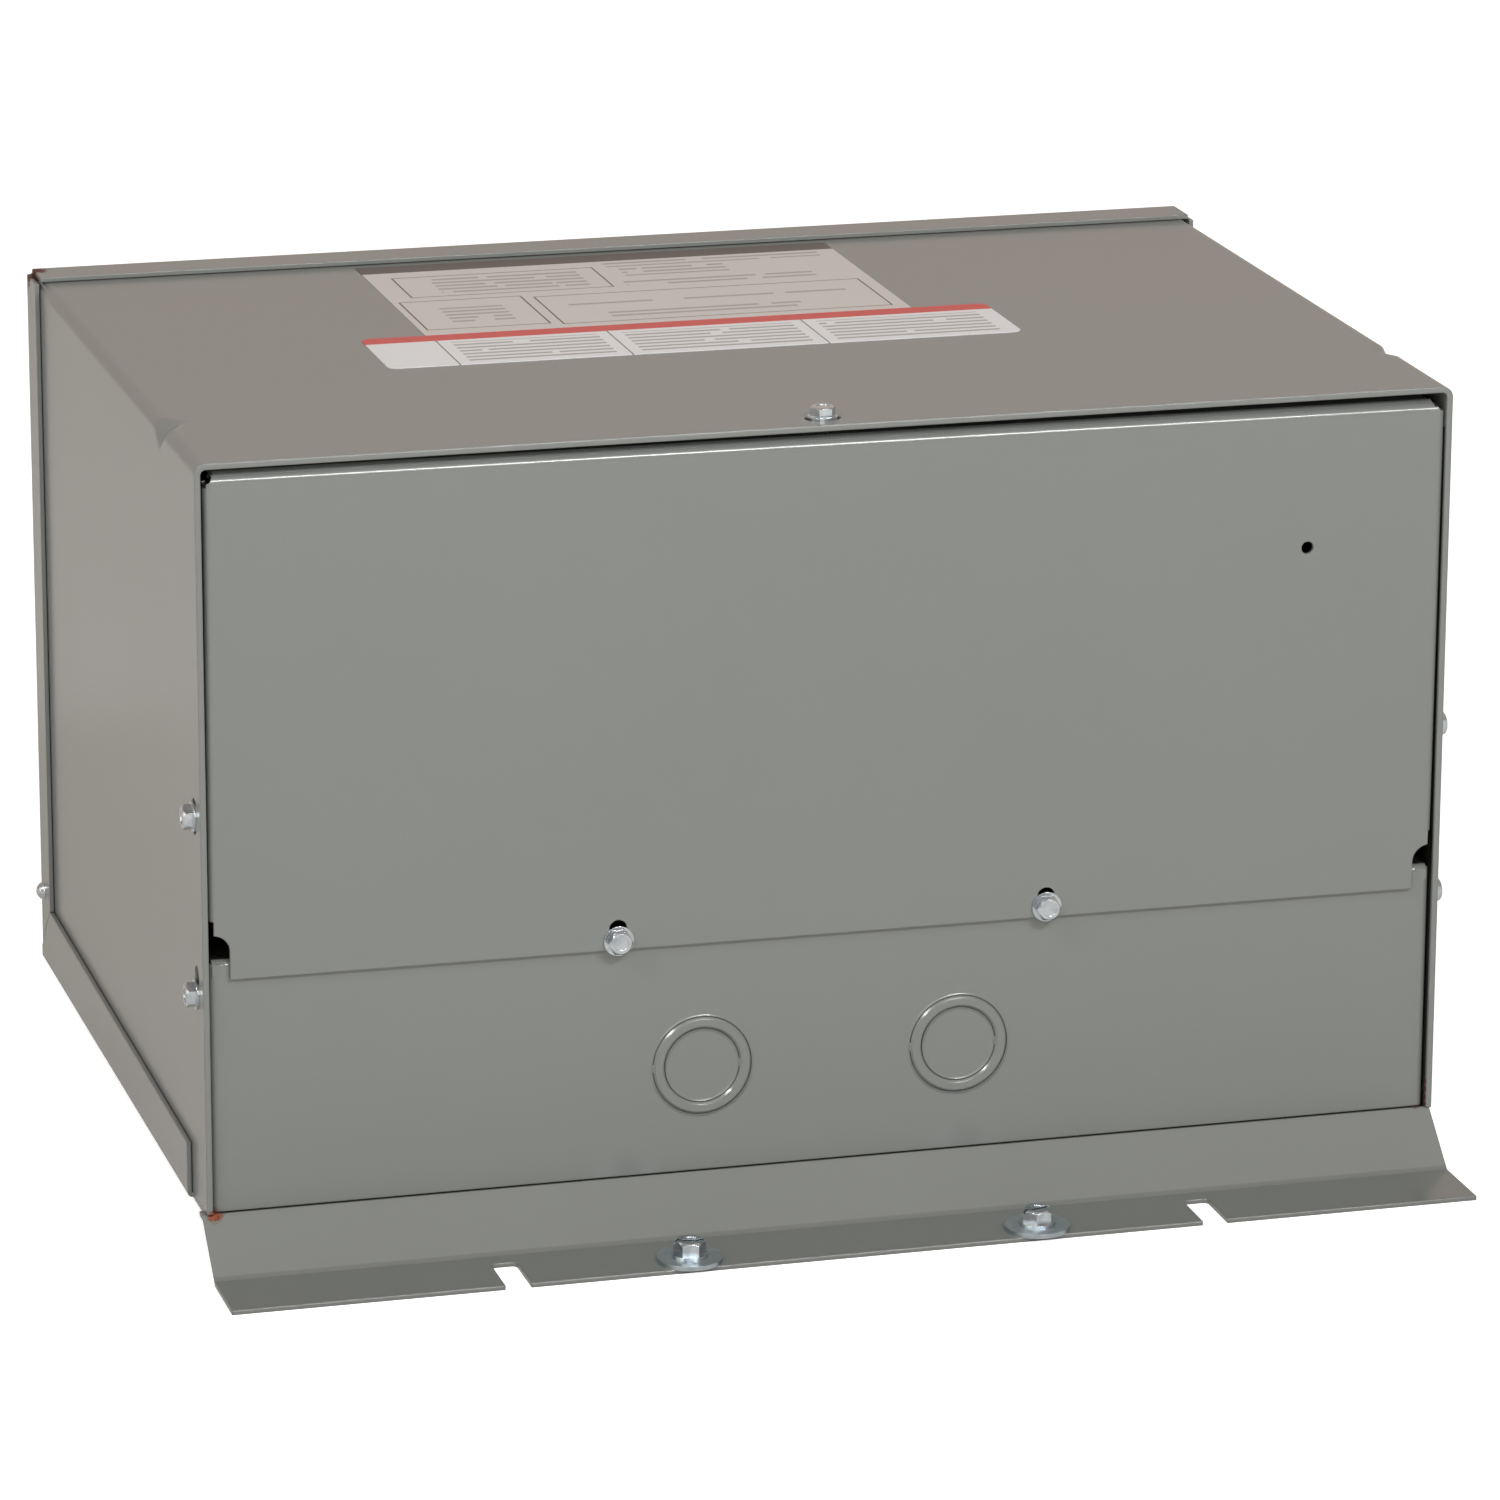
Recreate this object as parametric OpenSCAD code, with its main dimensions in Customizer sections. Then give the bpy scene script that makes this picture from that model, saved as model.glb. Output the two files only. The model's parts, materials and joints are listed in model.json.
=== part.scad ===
// Resin-filled three-phase transformer in a folded sheet-steel case.
// It stands on its wall side: the wiring end with the cover and the knockouts faces -Y,
// +X is to the right, +Z is up and the undersides of the two feet lie at Z = 0.
// The origin is on the floor, midway between the outer edges of the two feet.

/* [Case] */
// Width across the wrapper's two sides
body_w = 362; // [300:1:420]
// Height of the wrapper's sides, from their lower edge to the top sheet
body_h = 215; // [190:1:260]
// Depth from the wrapper's front edge to the rear face
body_d = 247; // [236:1:300]
// Thickness of the wrapper sheet
wrap_t = 1.7; // [1.5:0.1:2.3]
// Outer radius of the wrapper's two bends
wrap_r = 3.2; // [2.6:0.1:5]
// Thickness of the cap, tray, cover and panel sheets
sheet_t = 1.3; // [1.1:0.1:2]
// Outer radius of the small bends in those sheets
bend_r = 2.2; // [2.1:0.1:3]
// Gap between two painted sheets that lap
lap_gap = 0.25; // [0.1:0.05:0.3]

/* [Corner dents] */
// Distance of a dent's crease from the front edge
dent_y = 48; // [44:1:54]
// Length of each of a dent's two slopes
dent_reach = 8; // [6:0.5:9]
// Radius of the corner at the crease, where a dent is deepest
dent_r = 9; // [7:0.5:11]

/* [Rear cap] */
// Depth of the cap's flange round the wrapper
cap_lip = 15; // [12:1:20]
// Size of the open corner where the cap's flanges meet
cap_relief = 1.8; // [1.6:0.1:4]

/* [Base tray and feet] */
// Height of the wrapper's lower edge above the floor
foot_h = 15.1; // [12:0.1:22]
// Horizontal run of the sloping web, from the case to the foot's bend
web_run = 16; // [12:1:24]
// Depth of the flat foot
foot_flat = 23.3; // [22:0.1:36]
// How far the front foot stands out past the wrapper, each side
foot_over = 0.4; // [0:0.1:3]
// How far the front foot sits to the left of the middle
foot_shift = 0.9; // [0:0.1:1.5]
// How far the rear foot is shorter than the wrapper, each side
rear_foot_inset = 14; // [8:1:30]
// Height of the tray's side flange at its front end
tray_lip_front = 15; // [12:1:20]
// Height of the tray's side flange at the rear
tray_lip_rear = 18; // [16:1:24]
// Distance of the side flange's front end from the wrapper's front edge
tray_lip_start = 20; // [14:1:30]

/* [Mounting] */
// Spacing of the open slots in the front foot and of the holes in the rear foot
mount_pitch = 203.2; // [160:0.1:240]
// Width of the open slots
slot_w = 7.4; // [6:0.1:9]
// Length of the open slots, from the foot's edge
slot_l = 17.8; // [14:0.1:21]
// Corner radius at the slots' inner ends
slot_r = 1.5; // [0.5:0.1:2.5]
// Radius of the round holes in the rear foot
mount_hole_r = 4; // [3:0.1:5]
// Distance of the round holes from the rear foot's edge
mount_edge = 12.3; // [9:0.1:14]
// Spacing of the two screws in the front foot
foot_screw_pitch = 101.6; // [80:0.1:130]

/* [Front cover] */
// Gap between the wrapper and each side of the cover
cover_gap = 0.5; // [0.5:0.1:1.5]
// Gap between the wrapper's top sheet and the cover's top flange
cover_top_gap = 2.8; // [2:0.1:4]
// How far the cover's face lies behind the wrapper's front edge
cover_set = 0.5; // [0:0.1:2]
// How much lower the cover hangs at its right end than at its left
cover_hang = 1.2; // [0:0.1:1.5]
// How far the cover sits to the right of the middle
cover_shift = 0.2; // [0:0.05:0.2]
// Height of the tongue's lower edge above the wrapper's lower edge
tongue_z = 67.5; // [60:0.5:80]
// How far the tongue is shorter than the cover, each side
tongue_inset = 5.7; // [4:0.1:8]
// Radius of the quarter-round notch beside the tongue
notch_r = 5; // [4:0.1:6]
// Height of that notch's centre above the panel's upper edge
notch_rise = 2.2; // [1:0.1:4]
// Depth of the cover's flanges
cover_flange = 14; // [13:0.5:20]
// Radius of the small round hole in the cover
cover_hole_r = 1.8; // [1:0.1:3]
// Distance of that hole from the cover's right edge
cover_hole_in = 40.4; // [34:0.1:60]
// Height of that hole above the wrapper's lower edge
cover_hole_z = 171; // [120:1:180]
// Spacing of the two screws at the cover's lower edge
cover_screw_pitch = 125.4; // [90:0.1:160]
// Width of the open slots for them
cover_slot_w = 5.2; // [4.8:0.1:6]

/* [Knockout panel] */
// Height of the panel
panel_h = 73.3; // [70:0.1:82]
// Radius of the groove round the larger knockout
ko_outer_r = 14.4; // [13:0.1:18]
// Radius of the groove round the smaller knockout
ko_inner_r = 10.9; // [8:0.1:11]
// Place of the left knockout from the middle
ko_left = 38; // [30:0.1:60]
// Place of the right knockout from the middle
ko_right = 37.5; // [30:0.1:60]
// Height of the knockouts' centres above the wrapper's lower edge
ko_z = 31.2; // [24:0.1:40]
// Width of the sheared groove round a knockout
ko_groove = 0.3; // [0.2:0.1:0.8]
// How far the ring between the two grooves stands proud
ko_proud = 0.6; // [0.2:0.1:0.8]
// Width of the slope along each side of that ring
ko_slope = 0.6; // [0.2:0.1:0.8]

/* [Fasteners] */
// Shank radius of the small screws
screw_r = 2.1; // [1.6:0.1:2.3]
// Width across flats of the small screws' heads
screw_af = 6.35; // [5:0.05:8]
// Shank radius of the foot screws
big_screw_r = 2.4; // [2:0.1:3]
// Width across flats of the foot screws' heads
big_screw_af = 7.94; // [6:0.01:10]
// Outer radius of the foot screws' flat washers
flat_washer_r = 9.3; // [7:0.1:10]
// How far those washers stand out past the foot's edge
washer_over = 2.5; // [0:0.1:3]
// Thickness of those washers
flat_washer_t = 1.3; // [0.8:0.1:2]
// Distance of the top and side screws from the wrapper's front edge
edge_screw_y = 8.4; // [7:0.1:10]
// Length of the slots in the wrapper for these screws
edge_slot_l = 10.3; // [8:0.1:14]
// Place of the top screw from the middle
top_screw_x = -2; // [-20:1:20]
// Height of the upper side screws above the wrapper's lower edge
upper_screw_z = 113.5; // [96:0.5:130]
// Height of the middle of the lower side slots above the wrapper's lower edge
lower_slot_z = 65.2; // [55:0.1:66]
// How far the lower left screw sits below the middle of its slot
left_screw_drop = 3; // [0:0.1:3]
// How far the lower right screw sits below the middle of its slot
right_screw_drop = 1.7; // [0:0.1:3]
// Radius of the round-headed screws that hold the cap
cap_screw_r = 2.8; // [2:0.1:4]

/* [Core and coils] */
// Resin between a core and the side of the case; the two cores fill what is left of the width
core_wall_gap = 18.1; // [14:0.1:24]
// Resin between the two cores
core_mid_gap = 22; // [16:0.5:30]
// Depth of the stack of laminations
core_stack = 95; // [70:1:100]
// Height of the steel stand under a core
stand_h = 42; // [20:1:50]
// Thickness of the stand's strip
stand_t = 3; // [2:0.5:4]
// Wall of the tube that a coil is wound on
coil_tube_t = 2; // [1:0.5:3]
// Clearance between a coil and the outer limbs of its core; the windings fill the rest
coil_clear = 3.5; // [2:0.5:6]
// Share of the two windings' thickness that the primary takes
primary_share = 0.53; // [0.4:0.01:0.6]
// Thickness of each layer of insulation
insulation_t = 1; // [0.5:0.1:1.5]

/* [Leads] */
// Radius of a lead over its insulation
lead_r = 2.4; // [1.8:0.1:3]
// Radius of the bare strands at a lead's end
strand_r = 1.4; // [1:0.1:1.7]
// Bend radius of a lead, to its middle
lead_bend = 12; // [9:0.5:18]
// How far a lead's hanging part is from the wrapper's front edge
lead_front = 30; // [24:1:40]
// Length of a lead's hanging part
lead_drop = 46; // [30:1:60]
// Length of the bare strands
strand_l = 12; // [8:1:20]
// Distance of the outer secondary leads from the sides of their coil
lead_in = 10.5; // [7:0.5:14]

/* [Labels] */
// Width of the data label
data_w = 147; // [100:1:180]
// Depth of the data label
data_d = 93; // [60:1:96]
// Place of the data label's middle from the middle of the case
data_x = -12; // [-40:1:40]
// Distance of the data label's front edge from the wrapper's front edge
data_y = 134.6; // [133:0.1:137]
// Width of the striped label
stripe_w = 189; // [120:1:220]
// Depth of the striped label
stripe_d = 38; // [20:1:45]
// Place of the striped label's middle from the middle of the case
stripe_x = -10.5; // [-40:0.5:40]
// Thickness of a label
label_t = 0.2; // [0.1:0.05:0.4]

/* [Hidden] */
$fn = 48;
// A cut is carried this far past the surface that it opens
eps = 1;

front_y = -body_d / 2;
rear_y = body_d / 2;
base_z = foot_h;
top_z = foot_h + body_h;
in_w = body_w - 2 * wrap_t;
in_top = top_z - wrap_t;
// Outer face and outer bend radius of the flanges that lap the wrapper
lap_x = body_w / 2 + lap_gap + sheet_t;
lap_r = sheet_t + lap_gap;
floor_z = base_z - sheet_t;
foot_edge_y = front_y - web_run - foot_flat;
foot_screw_y = foot_edge_y + flat_washer_r - washer_over;
// The hidden rear foot reaches as far as the front one with its washers
rear_foot_flat = foot_flat + washer_over;
rear_edge_y = rear_y + web_run + rear_foot_flat;

// Slit that ends the cover's side flanges, above the notch
cover_slit = 1.2;
cover_slit_h = 3.9;
cover_w = in_w - 2 * cover_gap;
cover_top = in_top - cover_top_gap;
cover_back = front_y + cover_set + sheet_t;
tongue_w = cover_w - 2 * tongue_inset;
notch_z = base_z + panel_h;
// Lower ends of the cover's full width and of its side flanges
notch_mid_z = notch_z + notch_rise;
cover_side_z = notch_mid_z + notch_r;
cover_flange_z = cover_side_z + cover_slit_h;
cover_mid_z = (cover_top + cover_flange_z) / 2;
// Open upper corners of the cover: where the flanges end, and the round relief
cover_corner = 1.7;
cover_relief_r = 1.5;
cover_relief_in = 0.6;
cover_screw_drop = 2.8;
cover_screw_z = notch_z - cover_screw_drop;
cover_slot_top = notch_z + screw_r + cover_slot_w / 2 - 1.7;
cover_tilt = atan(cover_hang / cover_w);
panel_y = cover_back + lap_gap / 2;
panel_lift = 0.2;
panel_corner = 1;
panel_w = in_w - 2 * lap_gap;
panel_flange = 14;
// Room in the panel's upper flange for a cover screw's shank: width and height
shank_room = [12, 6.4];
groove_depth = 0.55 * sheet_t;
lower_screw_z = lower_slot_z * [1, 1] - [left_screw_drop, right_screw_drop];
edge_slot_w = 2 * screw_r + 1;
cap_screw_inset = 4.6;
cap_screw_rise = 4;
cap_screw_y = rear_y - cap_screw_inset;
cap_screw_z = base_z + tray_lip_rear + cap_screw_rise;
// Shank lengths under the heads
edge_screw_l = 9.5;
side_screw_l = 8;
ground_screw_l = 4.2;
foot_screw_turn = 11;

// A dent's two slopes are cones that touch the top and the side, with their points on the sharp corner
dent_growth = (dent_r - wrap_r) / dent_reach;
dent_point = dent_r / dent_growth;
// Angle between a cone's axis and the corner, half the cone's own angle, and the axis seen from above
dent_axis = atan(sqrt(2) * dent_growth);
dent_half = asin(sin(dent_axis) / sqrt(2));
dent_turn = atan2(cos(dent_axis), sin(dent_half));
// Shift along the corner that keeps the sheet's thickness under a cone
dent_skin = wrap_t * sqrt(2) / tan(dent_axis);

board_t = 3;
board_set = 5.4;
board_y = front_y + dent_y + dent_reach + board_set;
resin_y = board_y + board_t;
core_y = (resin_y + rear_y - sheet_t) / 2;
core_z = base_z + stand_h;
// Half the width of a core's middle limb, which sets the whole lamination
core_u = (in_w - 2 * core_wall_gap - core_mid_gap) / 12;
core_w = 6 * core_u;
core_pitch = core_w + core_mid_gap;
core_h = 5 * core_u;
window_h = 3 * core_u;
coil_z = core_z + core_u;
coil_gap = 0.5;
coil_h = window_h - 2 * coil_gap;
tube_in = [2 * core_u + 2 * coil_gap, core_stack + 2 * coil_gap];
tube_out = tube_in + 2 * coil_tube_t * [1, 1];
winding_t = core_u - coil_gap - coil_tube_t - 2 * insulation_t - coil_clear;
primary_t = winding_t * primary_share;
secondary_t = winding_t - primary_t;
primary_out = tube_out + 2 * primary_t * [1, 1];
layer_out = primary_out + 2 * insulation_t * [1, 1];
secondary_out = layer_out + 2 * secondary_t * [1, 1];
wrap_out = secondary_out + 2 * insulation_t * [1, 1];
coil_front_y = core_y - wrap_out[1] / 2;
main_x = -core_pitch / 2;
teaser_x = core_pitch / 2;

// How far the leads leave below the coils' top and above their bottom
primary_lead_drop = 12;
secondary_lead_rise = 16;
primary_lead_z = coil_z + coil_h - primary_lead_drop;
secondary_lead_z = coil_z + secondary_lead_rise;
lead_hole_r = lead_r + lap_gap;
lead_pitch = (wrap_out[0] - 2 * lead_in) / 3;
// Place of each lead from left to right, and its height
primary_leads = [for (i = [-1, 0, 1]) [main_x + i * lead_pitch, primary_lead_z]];
secondary_leads = [for (i = [-1.5, -0.5, 0.5, 1.5]) [teaser_x + i * lead_pitch, secondary_lead_z]];
all_leads = concat(primary_leads, secondary_leads);

// Earth connection on the tray's floor, in the wiring space
ground_in = 29.1;
ground_set = 34;
ground_x = in_w / 2 - ground_in;
ground_y = front_y + ground_set;
lug_r = 6;
lug_l = 22;
lug_w = 8;
lug_barrel = [10, 9];
lug_wire_r = 2.6;
lug_wire_z = 5.2;

stand_inset = 8;
stand_foot = 16;
stand_end = 10;
label_r = 3;

paint = "#8A8D86";
zinc = "#C9CCCE";

// Flat helpers

// Rectangle with rounded corners, about its middle
module rounded_rect(size, r) {
    square([size[0] - 2 * r, size[1]], center = true);
    square([size[0], size[1] - 2 * r], center = true);
    for (sx = [-1, 1], sy = [-1, 1])
        translate([sx * (size[0] / 2 - r), sy * (size[1] / 2 - r)])
            circle(r);
}

// Ring of the outline of a wound layer
module rounded_ring(outer, outer_r, inner, inner_r) {
    difference() {
        rounded_rect(outer, outer_r);
        rounded_rect(inner, inner_r);
    }
}

// Block with two round upper corners, standing on its base line
module arch(w, h, r) {
    translate([-w / 2, 0])
        square([w, h - r]);
    translate([-w / 2 + r, 0])
        square([w - 2 * r, h]);
    for (s = [-1, 1])
        translate([s * (w / 2 - r), h - r])
            circle(r);
}

// Section of one bend in a sheet: two legs whose outer faces meet at the origin
module bent_section(leg_a, leg_b, t, r) {
    translate([r, 0])
        square([leg_a - r, t]);
    translate([0, r])
        square([t, leg_b - r]);
    translate([r, r])
        intersection() {
            difference() {
                circle(r);
                circle(r - t);
            }
            translate([-r, -r])
                square(r);
        }
}

// Slot with round ends, about its middle
module slot_2d(length, width) {
    square([length - width, width], center = true);
    for (s = [-1, 1])
        translate([s * (length - width) / 2, 0])
            circle(width / 2);
}

// Placing helpers

// Outline drawn in X and Z, given thickness from y0 to y1
module wall(y0, y1) {
    translate([0, y1, 0])
        rotate([90, 0, 0])
            linear_extrude(y1 - y0)
                children();
}

// Outline drawn in Y and Z, given length from x0 to x1
module bar(x0, x1) {
    translate([x0, 0, 0])
        rotate([90, 0, 90])
            linear_extrude(x1 - x0)
                children();
}

// Outline drawn in X and Y, given height from z0 to z1
module post(z0, z1) {
    translate([0, 0, z0])
        linear_extrude(z1 - z0)
            children();
}

module both_sides() {
    children();
    mirror([1, 0, 0])
        children();
}

// Case

// Metal between the sharp corner and one slope of a dent; its crease lies at Y = 0
module dent_slope(skin) {
    point = dent_point - skin * dent_skin;
    inset = skin * wrap_t;
    // The flat sides stop a little short of the lines where the cone touches the sheets
    wide = inset + 0.97 * dent_growth * point;
    outside = 2;
    cone_l = dent_point / cos(dent_axis);
    difference() {
        intersection() {
            post(-wide, outside)
                polygon([[-inset, point], [-wide, 0], [outside, 0], [outside, point]]);
            bar(-wide, outside)
                polygon([[point, -inset], [0, -wide], [0, outside], [point, outside]]);
        }
        translate([-inset, point, -inset])
            rotate([0, 90 + dent_half, 180 + dent_turn])
                cylinder(r1 = 0, r2 = cone_l * tan(dent_half), h = cone_l);
    }
}

// Both slopes of the dent in one upper corner, from the skin's outer or inner face outwards
module dent(side, skin) {
    translate([side * body_w / 2, front_y + dent_y, top_z])
        mirror([(1 - side) / 2, 0, 0]) {
            dent_slope(skin);
            mirror([0, 1, 0])
                dent_slope(skin);
        }
}

module edge_slots() {
    translate([top_screw_x, front_y + edge_screw_y, 0])
        post(in_top - eps, top_z + eps)
            slot_2d(edge_slot_l, edge_slot_w);
    for (side = [-1, 1], z = [upper_screw_z, lower_slot_z])
        translate([side * body_w / 2, front_y + edge_screw_y, base_z + z])
            rotate([0, 90, 0])
                linear_extrude(2 * wrap_t + 2 * eps, center = true)
                    slot_2d(edge_slot_l, edge_slot_w);
}

module wrapper() {
    color(paint)
        difference() {
            union() {
                translate([0, 0, base_z])
                    wall(front_y, rear_y - sheet_t)
                        difference() {
                            arch(body_w, body_h, wrap_r);
                            translate([0, -eps])
                                arch(in_w, body_h - wrap_t + eps, wrap_r - wrap_t);
                        }
                for (side = [-1, 1])
                    intersection() {
                        translate([0, 0, base_z])
                            wall(front_y, rear_y - sheet_t)
                                arch(body_w, body_h, wrap_r);
                        dent(side, 1);
                    }
            }
            for (side = [-1, 1])
                dent(side, 0);
            edge_slots();
        }
}

module cap_side_flange() {
    // The lower end is cut at 45 degrees to meet the tray's flange
    mitre = base_z + tray_lip_rear - cap_lip + lap_gap;
    difference() {
        post(mitre, top_z + lap_gap + sheet_t - cap_relief)
            translate([lap_x, rear_y])
                rotate(180)
                    bent_section(2 * lap_r, cap_lip, sheet_t, lap_r);
        bar(lap_x - sheet_t - eps, lap_x + eps)
            polygon([
                [rear_y - cap_lip - eps, mitre - eps],
                [rear_y - cap_lip - eps, mitre + cap_lip + eps],
                [rear_y + eps, mitre - eps]
            ]);
        translate([lap_x, cap_screw_y, cap_screw_z])
            rotate([0, 90, 0])
                cylinder(r = screw_r + lap_gap / 2, h = 4 * sheet_t, center = true);
    }
}

module rear_cap() {
    cap_top = top_z + lap_gap + sheet_t;
    color(paint) {
        // Rear face, between the bends
        wall(rear_y - sheet_t, rear_y)
            difference() {
                translate([-lap_x + lap_r, base_z])
                    square([2 * (lap_x - lap_r), cap_top - lap_r - base_z]);
                for (s = [-1, 1])
                    translate([s * lap_x, cap_top])
                        circle(cap_relief);
            }
        bar(-lap_x + cap_relief, lap_x - cap_relief)
            translate([rear_y, cap_top])
                rotate(180)
                    bent_section(cap_lip, 2 * lap_r, sheet_t, lap_r);
        both_sides()
            cap_side_flange();
    }
}

// Sloping web and flat foot as one folded strip; the outline runs from the tray's floor
module foot_section(flat) {
    slope = atan(floor_z / web_run);
    // Shift that keeps the strip's thickness where the web meets a level part
    turn = sheet_t * tan(slope / 2);
    polygon([
        [0, floor_z],
        [-web_run, 0],
        [-web_run - flat, 0],
        [-web_run - flat, sheet_t],
        [-web_run + turn, sheet_t],
        [turn, base_z],
        [bend_r * 2, base_z],
        [bend_r * 2, floor_z]
    ]);
}

module open_slot() {
    // Square inner end with small round corners, open at the foot's edge
    translate([mount_pitch / 2, foot_edge_y])
        post(-eps, sheet_t + eps) {
            translate([-slot_w / 2, -eps])
                square([slot_w, slot_l - slot_r + eps]);
            translate([-slot_w / 2 + slot_r, 0])
                square([slot_w - 2 * slot_r, slot_l]);
            for (s = [-1, 1])
                translate([s * (slot_w / 2 - slot_r), slot_l - slot_r])
                    circle(slot_r);
        }
}

module tray_side_flange() {
    start = front_y + tray_lip_start;
    difference() {
        translate([0, rear_y, floor_z])
            rotate([90, 0, 0])
                linear_extrude(rear_y - start)
                    translate([lap_x, 0])
                        mirror([1, 0])
                            bent_section(3 * lap_r, tray_lip_rear + sheet_t, sheet_t, lap_r);
        // The upper edge falls towards the front, and the rear end is cut at 45 degrees
        bar(lap_x - sheet_t - eps, lap_x + eps)
            polygon([
                [start - eps, base_z + tray_lip_front],
                [rear_y - cap_lip, base_z + tray_lip_rear],
                [rear_y + eps, base_z + tray_lip_rear - cap_lip - eps],
                [rear_y + eps, base_z + tray_lip_rear + eps],
                [start - eps, base_z + tray_lip_rear + eps]
            ]);
    }
}

module base_tray() {
    color(paint)
        difference() {
            union() {
                post(floor_z, base_z)
                    translate([-lap_x + lap_r, front_y + bend_r])
                        square([2 * (lap_x - lap_r), body_d - 2 * bend_r]);
                bar(-body_w / 2 - foot_over - foot_shift, body_w / 2 + foot_over - foot_shift)
                    translate([front_y, 0])
                        foot_section(foot_flat);
                bar(-body_w / 2 + rear_foot_inset, body_w / 2 - rear_foot_inset)
                    translate([rear_y, 0])
                        mirror([1, 0])
                            foot_section(rear_foot_flat);
                // The cap stands on the tray's rear edge
                post(floor_z, base_z)
                    translate([-lap_x + lap_r, rear_y - 2 * bend_r])
                        square([2 * (lap_x - lap_r), 2 * bend_r]);
                both_sides()
                    tray_side_flange();
            }
            both_sides()
                open_slot();
            for (s = [-1, 1]) {
                translate([s * mount_pitch / 2, rear_edge_y - mount_edge, -eps])
                    cylinder(r = mount_hole_r, h = sheet_t + 2 * eps);
                translate([s * foot_screw_pitch / 2, foot_screw_y, -eps])
                    cylinder(r = big_screw_r + lap_gap / 2, h = sheet_t + 2 * eps);
            }
            translate([ground_x, ground_y, floor_z - eps])
                cylinder(r = screw_r + lap_gap / 2, h = sheet_t + 2 * eps);
        }
}

// Front cover, before it is hung a little out of level
module cover_sheet() {
    half = cover_w / 2;
    difference() {
        union() {
            wall(cover_back - sheet_t, cover_back)
                difference() {
                    union() {
                        translate([-half + bend_r, cover_flange_z])
                            square([cover_w - 2 * bend_r, cover_top - bend_r - cover_flange_z]);
                        translate([-half + cover_slit, notch_mid_z])
                            square([cover_w - 2 * cover_slit, cover_flange_z - notch_mid_z]);
                        translate([-tongue_w / 2, base_z + tongue_z])
                            square([tongue_w, cover_side_z - base_z - tongue_z]);
                    }
                    for (s = [-1, 1])
                        translate([s * (tongue_w / 2 + notch_r), notch_mid_z])
                            circle(notch_r);
                }
            bar(-half + cover_corner, half - cover_corner)
                translate([cover_back - sheet_t, cover_top])
                    mirror([0, 1])
                        bent_section(cover_flange, 2 * bend_r, sheet_t, bend_r);
            both_sides()
                post(cover_flange_z, cover_top - cover_corner)
                    translate([half, cover_back - sheet_t])
                        mirror([1, 0])
                            bent_section(2 * bend_r, cover_flange, sheet_t, bend_r);
        }
        wall(cover_back - sheet_t - eps, cover_back + bend_r)
            for (s = [-1, 1])
                translate([s * (half - cover_relief_in), cover_top - cover_relief_in])
                    circle(cover_relief_r);
        // Open slots for the two screws at the lower edge
        wall(cover_back - sheet_t - eps, cover_back + eps)
            for (s = [-1, 1])
                translate([s * cover_screw_pitch / 2, cover_slot_top - cover_slot_w / 2]) {
                    circle(cover_slot_w / 2);
                    translate([-cover_slot_w / 2, -2 * cover_slot_w])
                        square([cover_slot_w, 2 * cover_slot_w]);
                }
        translate([half - cover_hole_in, cover_back, base_z + cover_hole_z])
            rotate([90, 0, 0])
                cylinder(r = cover_hole_r, h = 4 * sheet_t, center = true);
    }
}

module front_cover() {
    // The screws in the flanges keep their level places
    color(paint)
        difference() {
            translate([cover_shift, 0, cover_mid_z])
                rotate([0, cover_tilt, 0])
                    translate([0, 0, -cover_mid_z])
                        cover_sheet();
            translate([top_screw_x, front_y + edge_screw_y, cover_top])
                cylinder(r = screw_r + lap_gap / 2, h = 6 * sheet_t, center = true);
            for (s = [-1, 1])
                translate([s * cover_w / 2, front_y + edge_screw_y, base_z + upper_screw_z])
                    rotate([0, 90, 0])
                        cylinder(r = screw_r + lap_gap / 2, h = 6 * sheet_t, center = true);
        }
}

// Sheared groove of one knockout, broken by a tie at the given side
module knockout_groove(r, tie_side) {
    tie_w = 2.4;
    difference() {
        circle(r + ko_groove / 2);
        circle(r - ko_groove / 2);
        translate([tie_side * r, 0])
            square([4 * ko_groove, tie_w], center = true);
    }
}

// Both grooves of each knockout, cut from the panel's face
module knockout_grooves() {
    for (x = [-ko_left, ko_right])
        translate([x, 0, base_z + ko_z])
            wall(panel_y - eps, panel_y + groove_depth) {
                knockout_groove(ko_outer_r, -1);
                knockout_groove(ko_inner_r, 1);
            }
}

// The ring between the grooves, pressed out a little, with a slope along each side
module knockout_rings() {
    inner = ko_inner_r + ko_groove / 2;
    outer = ko_outer_r - ko_groove / 2;
    for (x = [-ko_left, ko_right])
        translate([x, panel_y, base_z + ko_z])
            rotate([90, 0, 0])
                rotate_extrude()
                    polygon([
                        [inner, 0],
                        [outer, 0],
                        [outer - ko_slope, ko_proud],
                        [inner + ko_slope, ko_proud]
                    ]);
}

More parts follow.
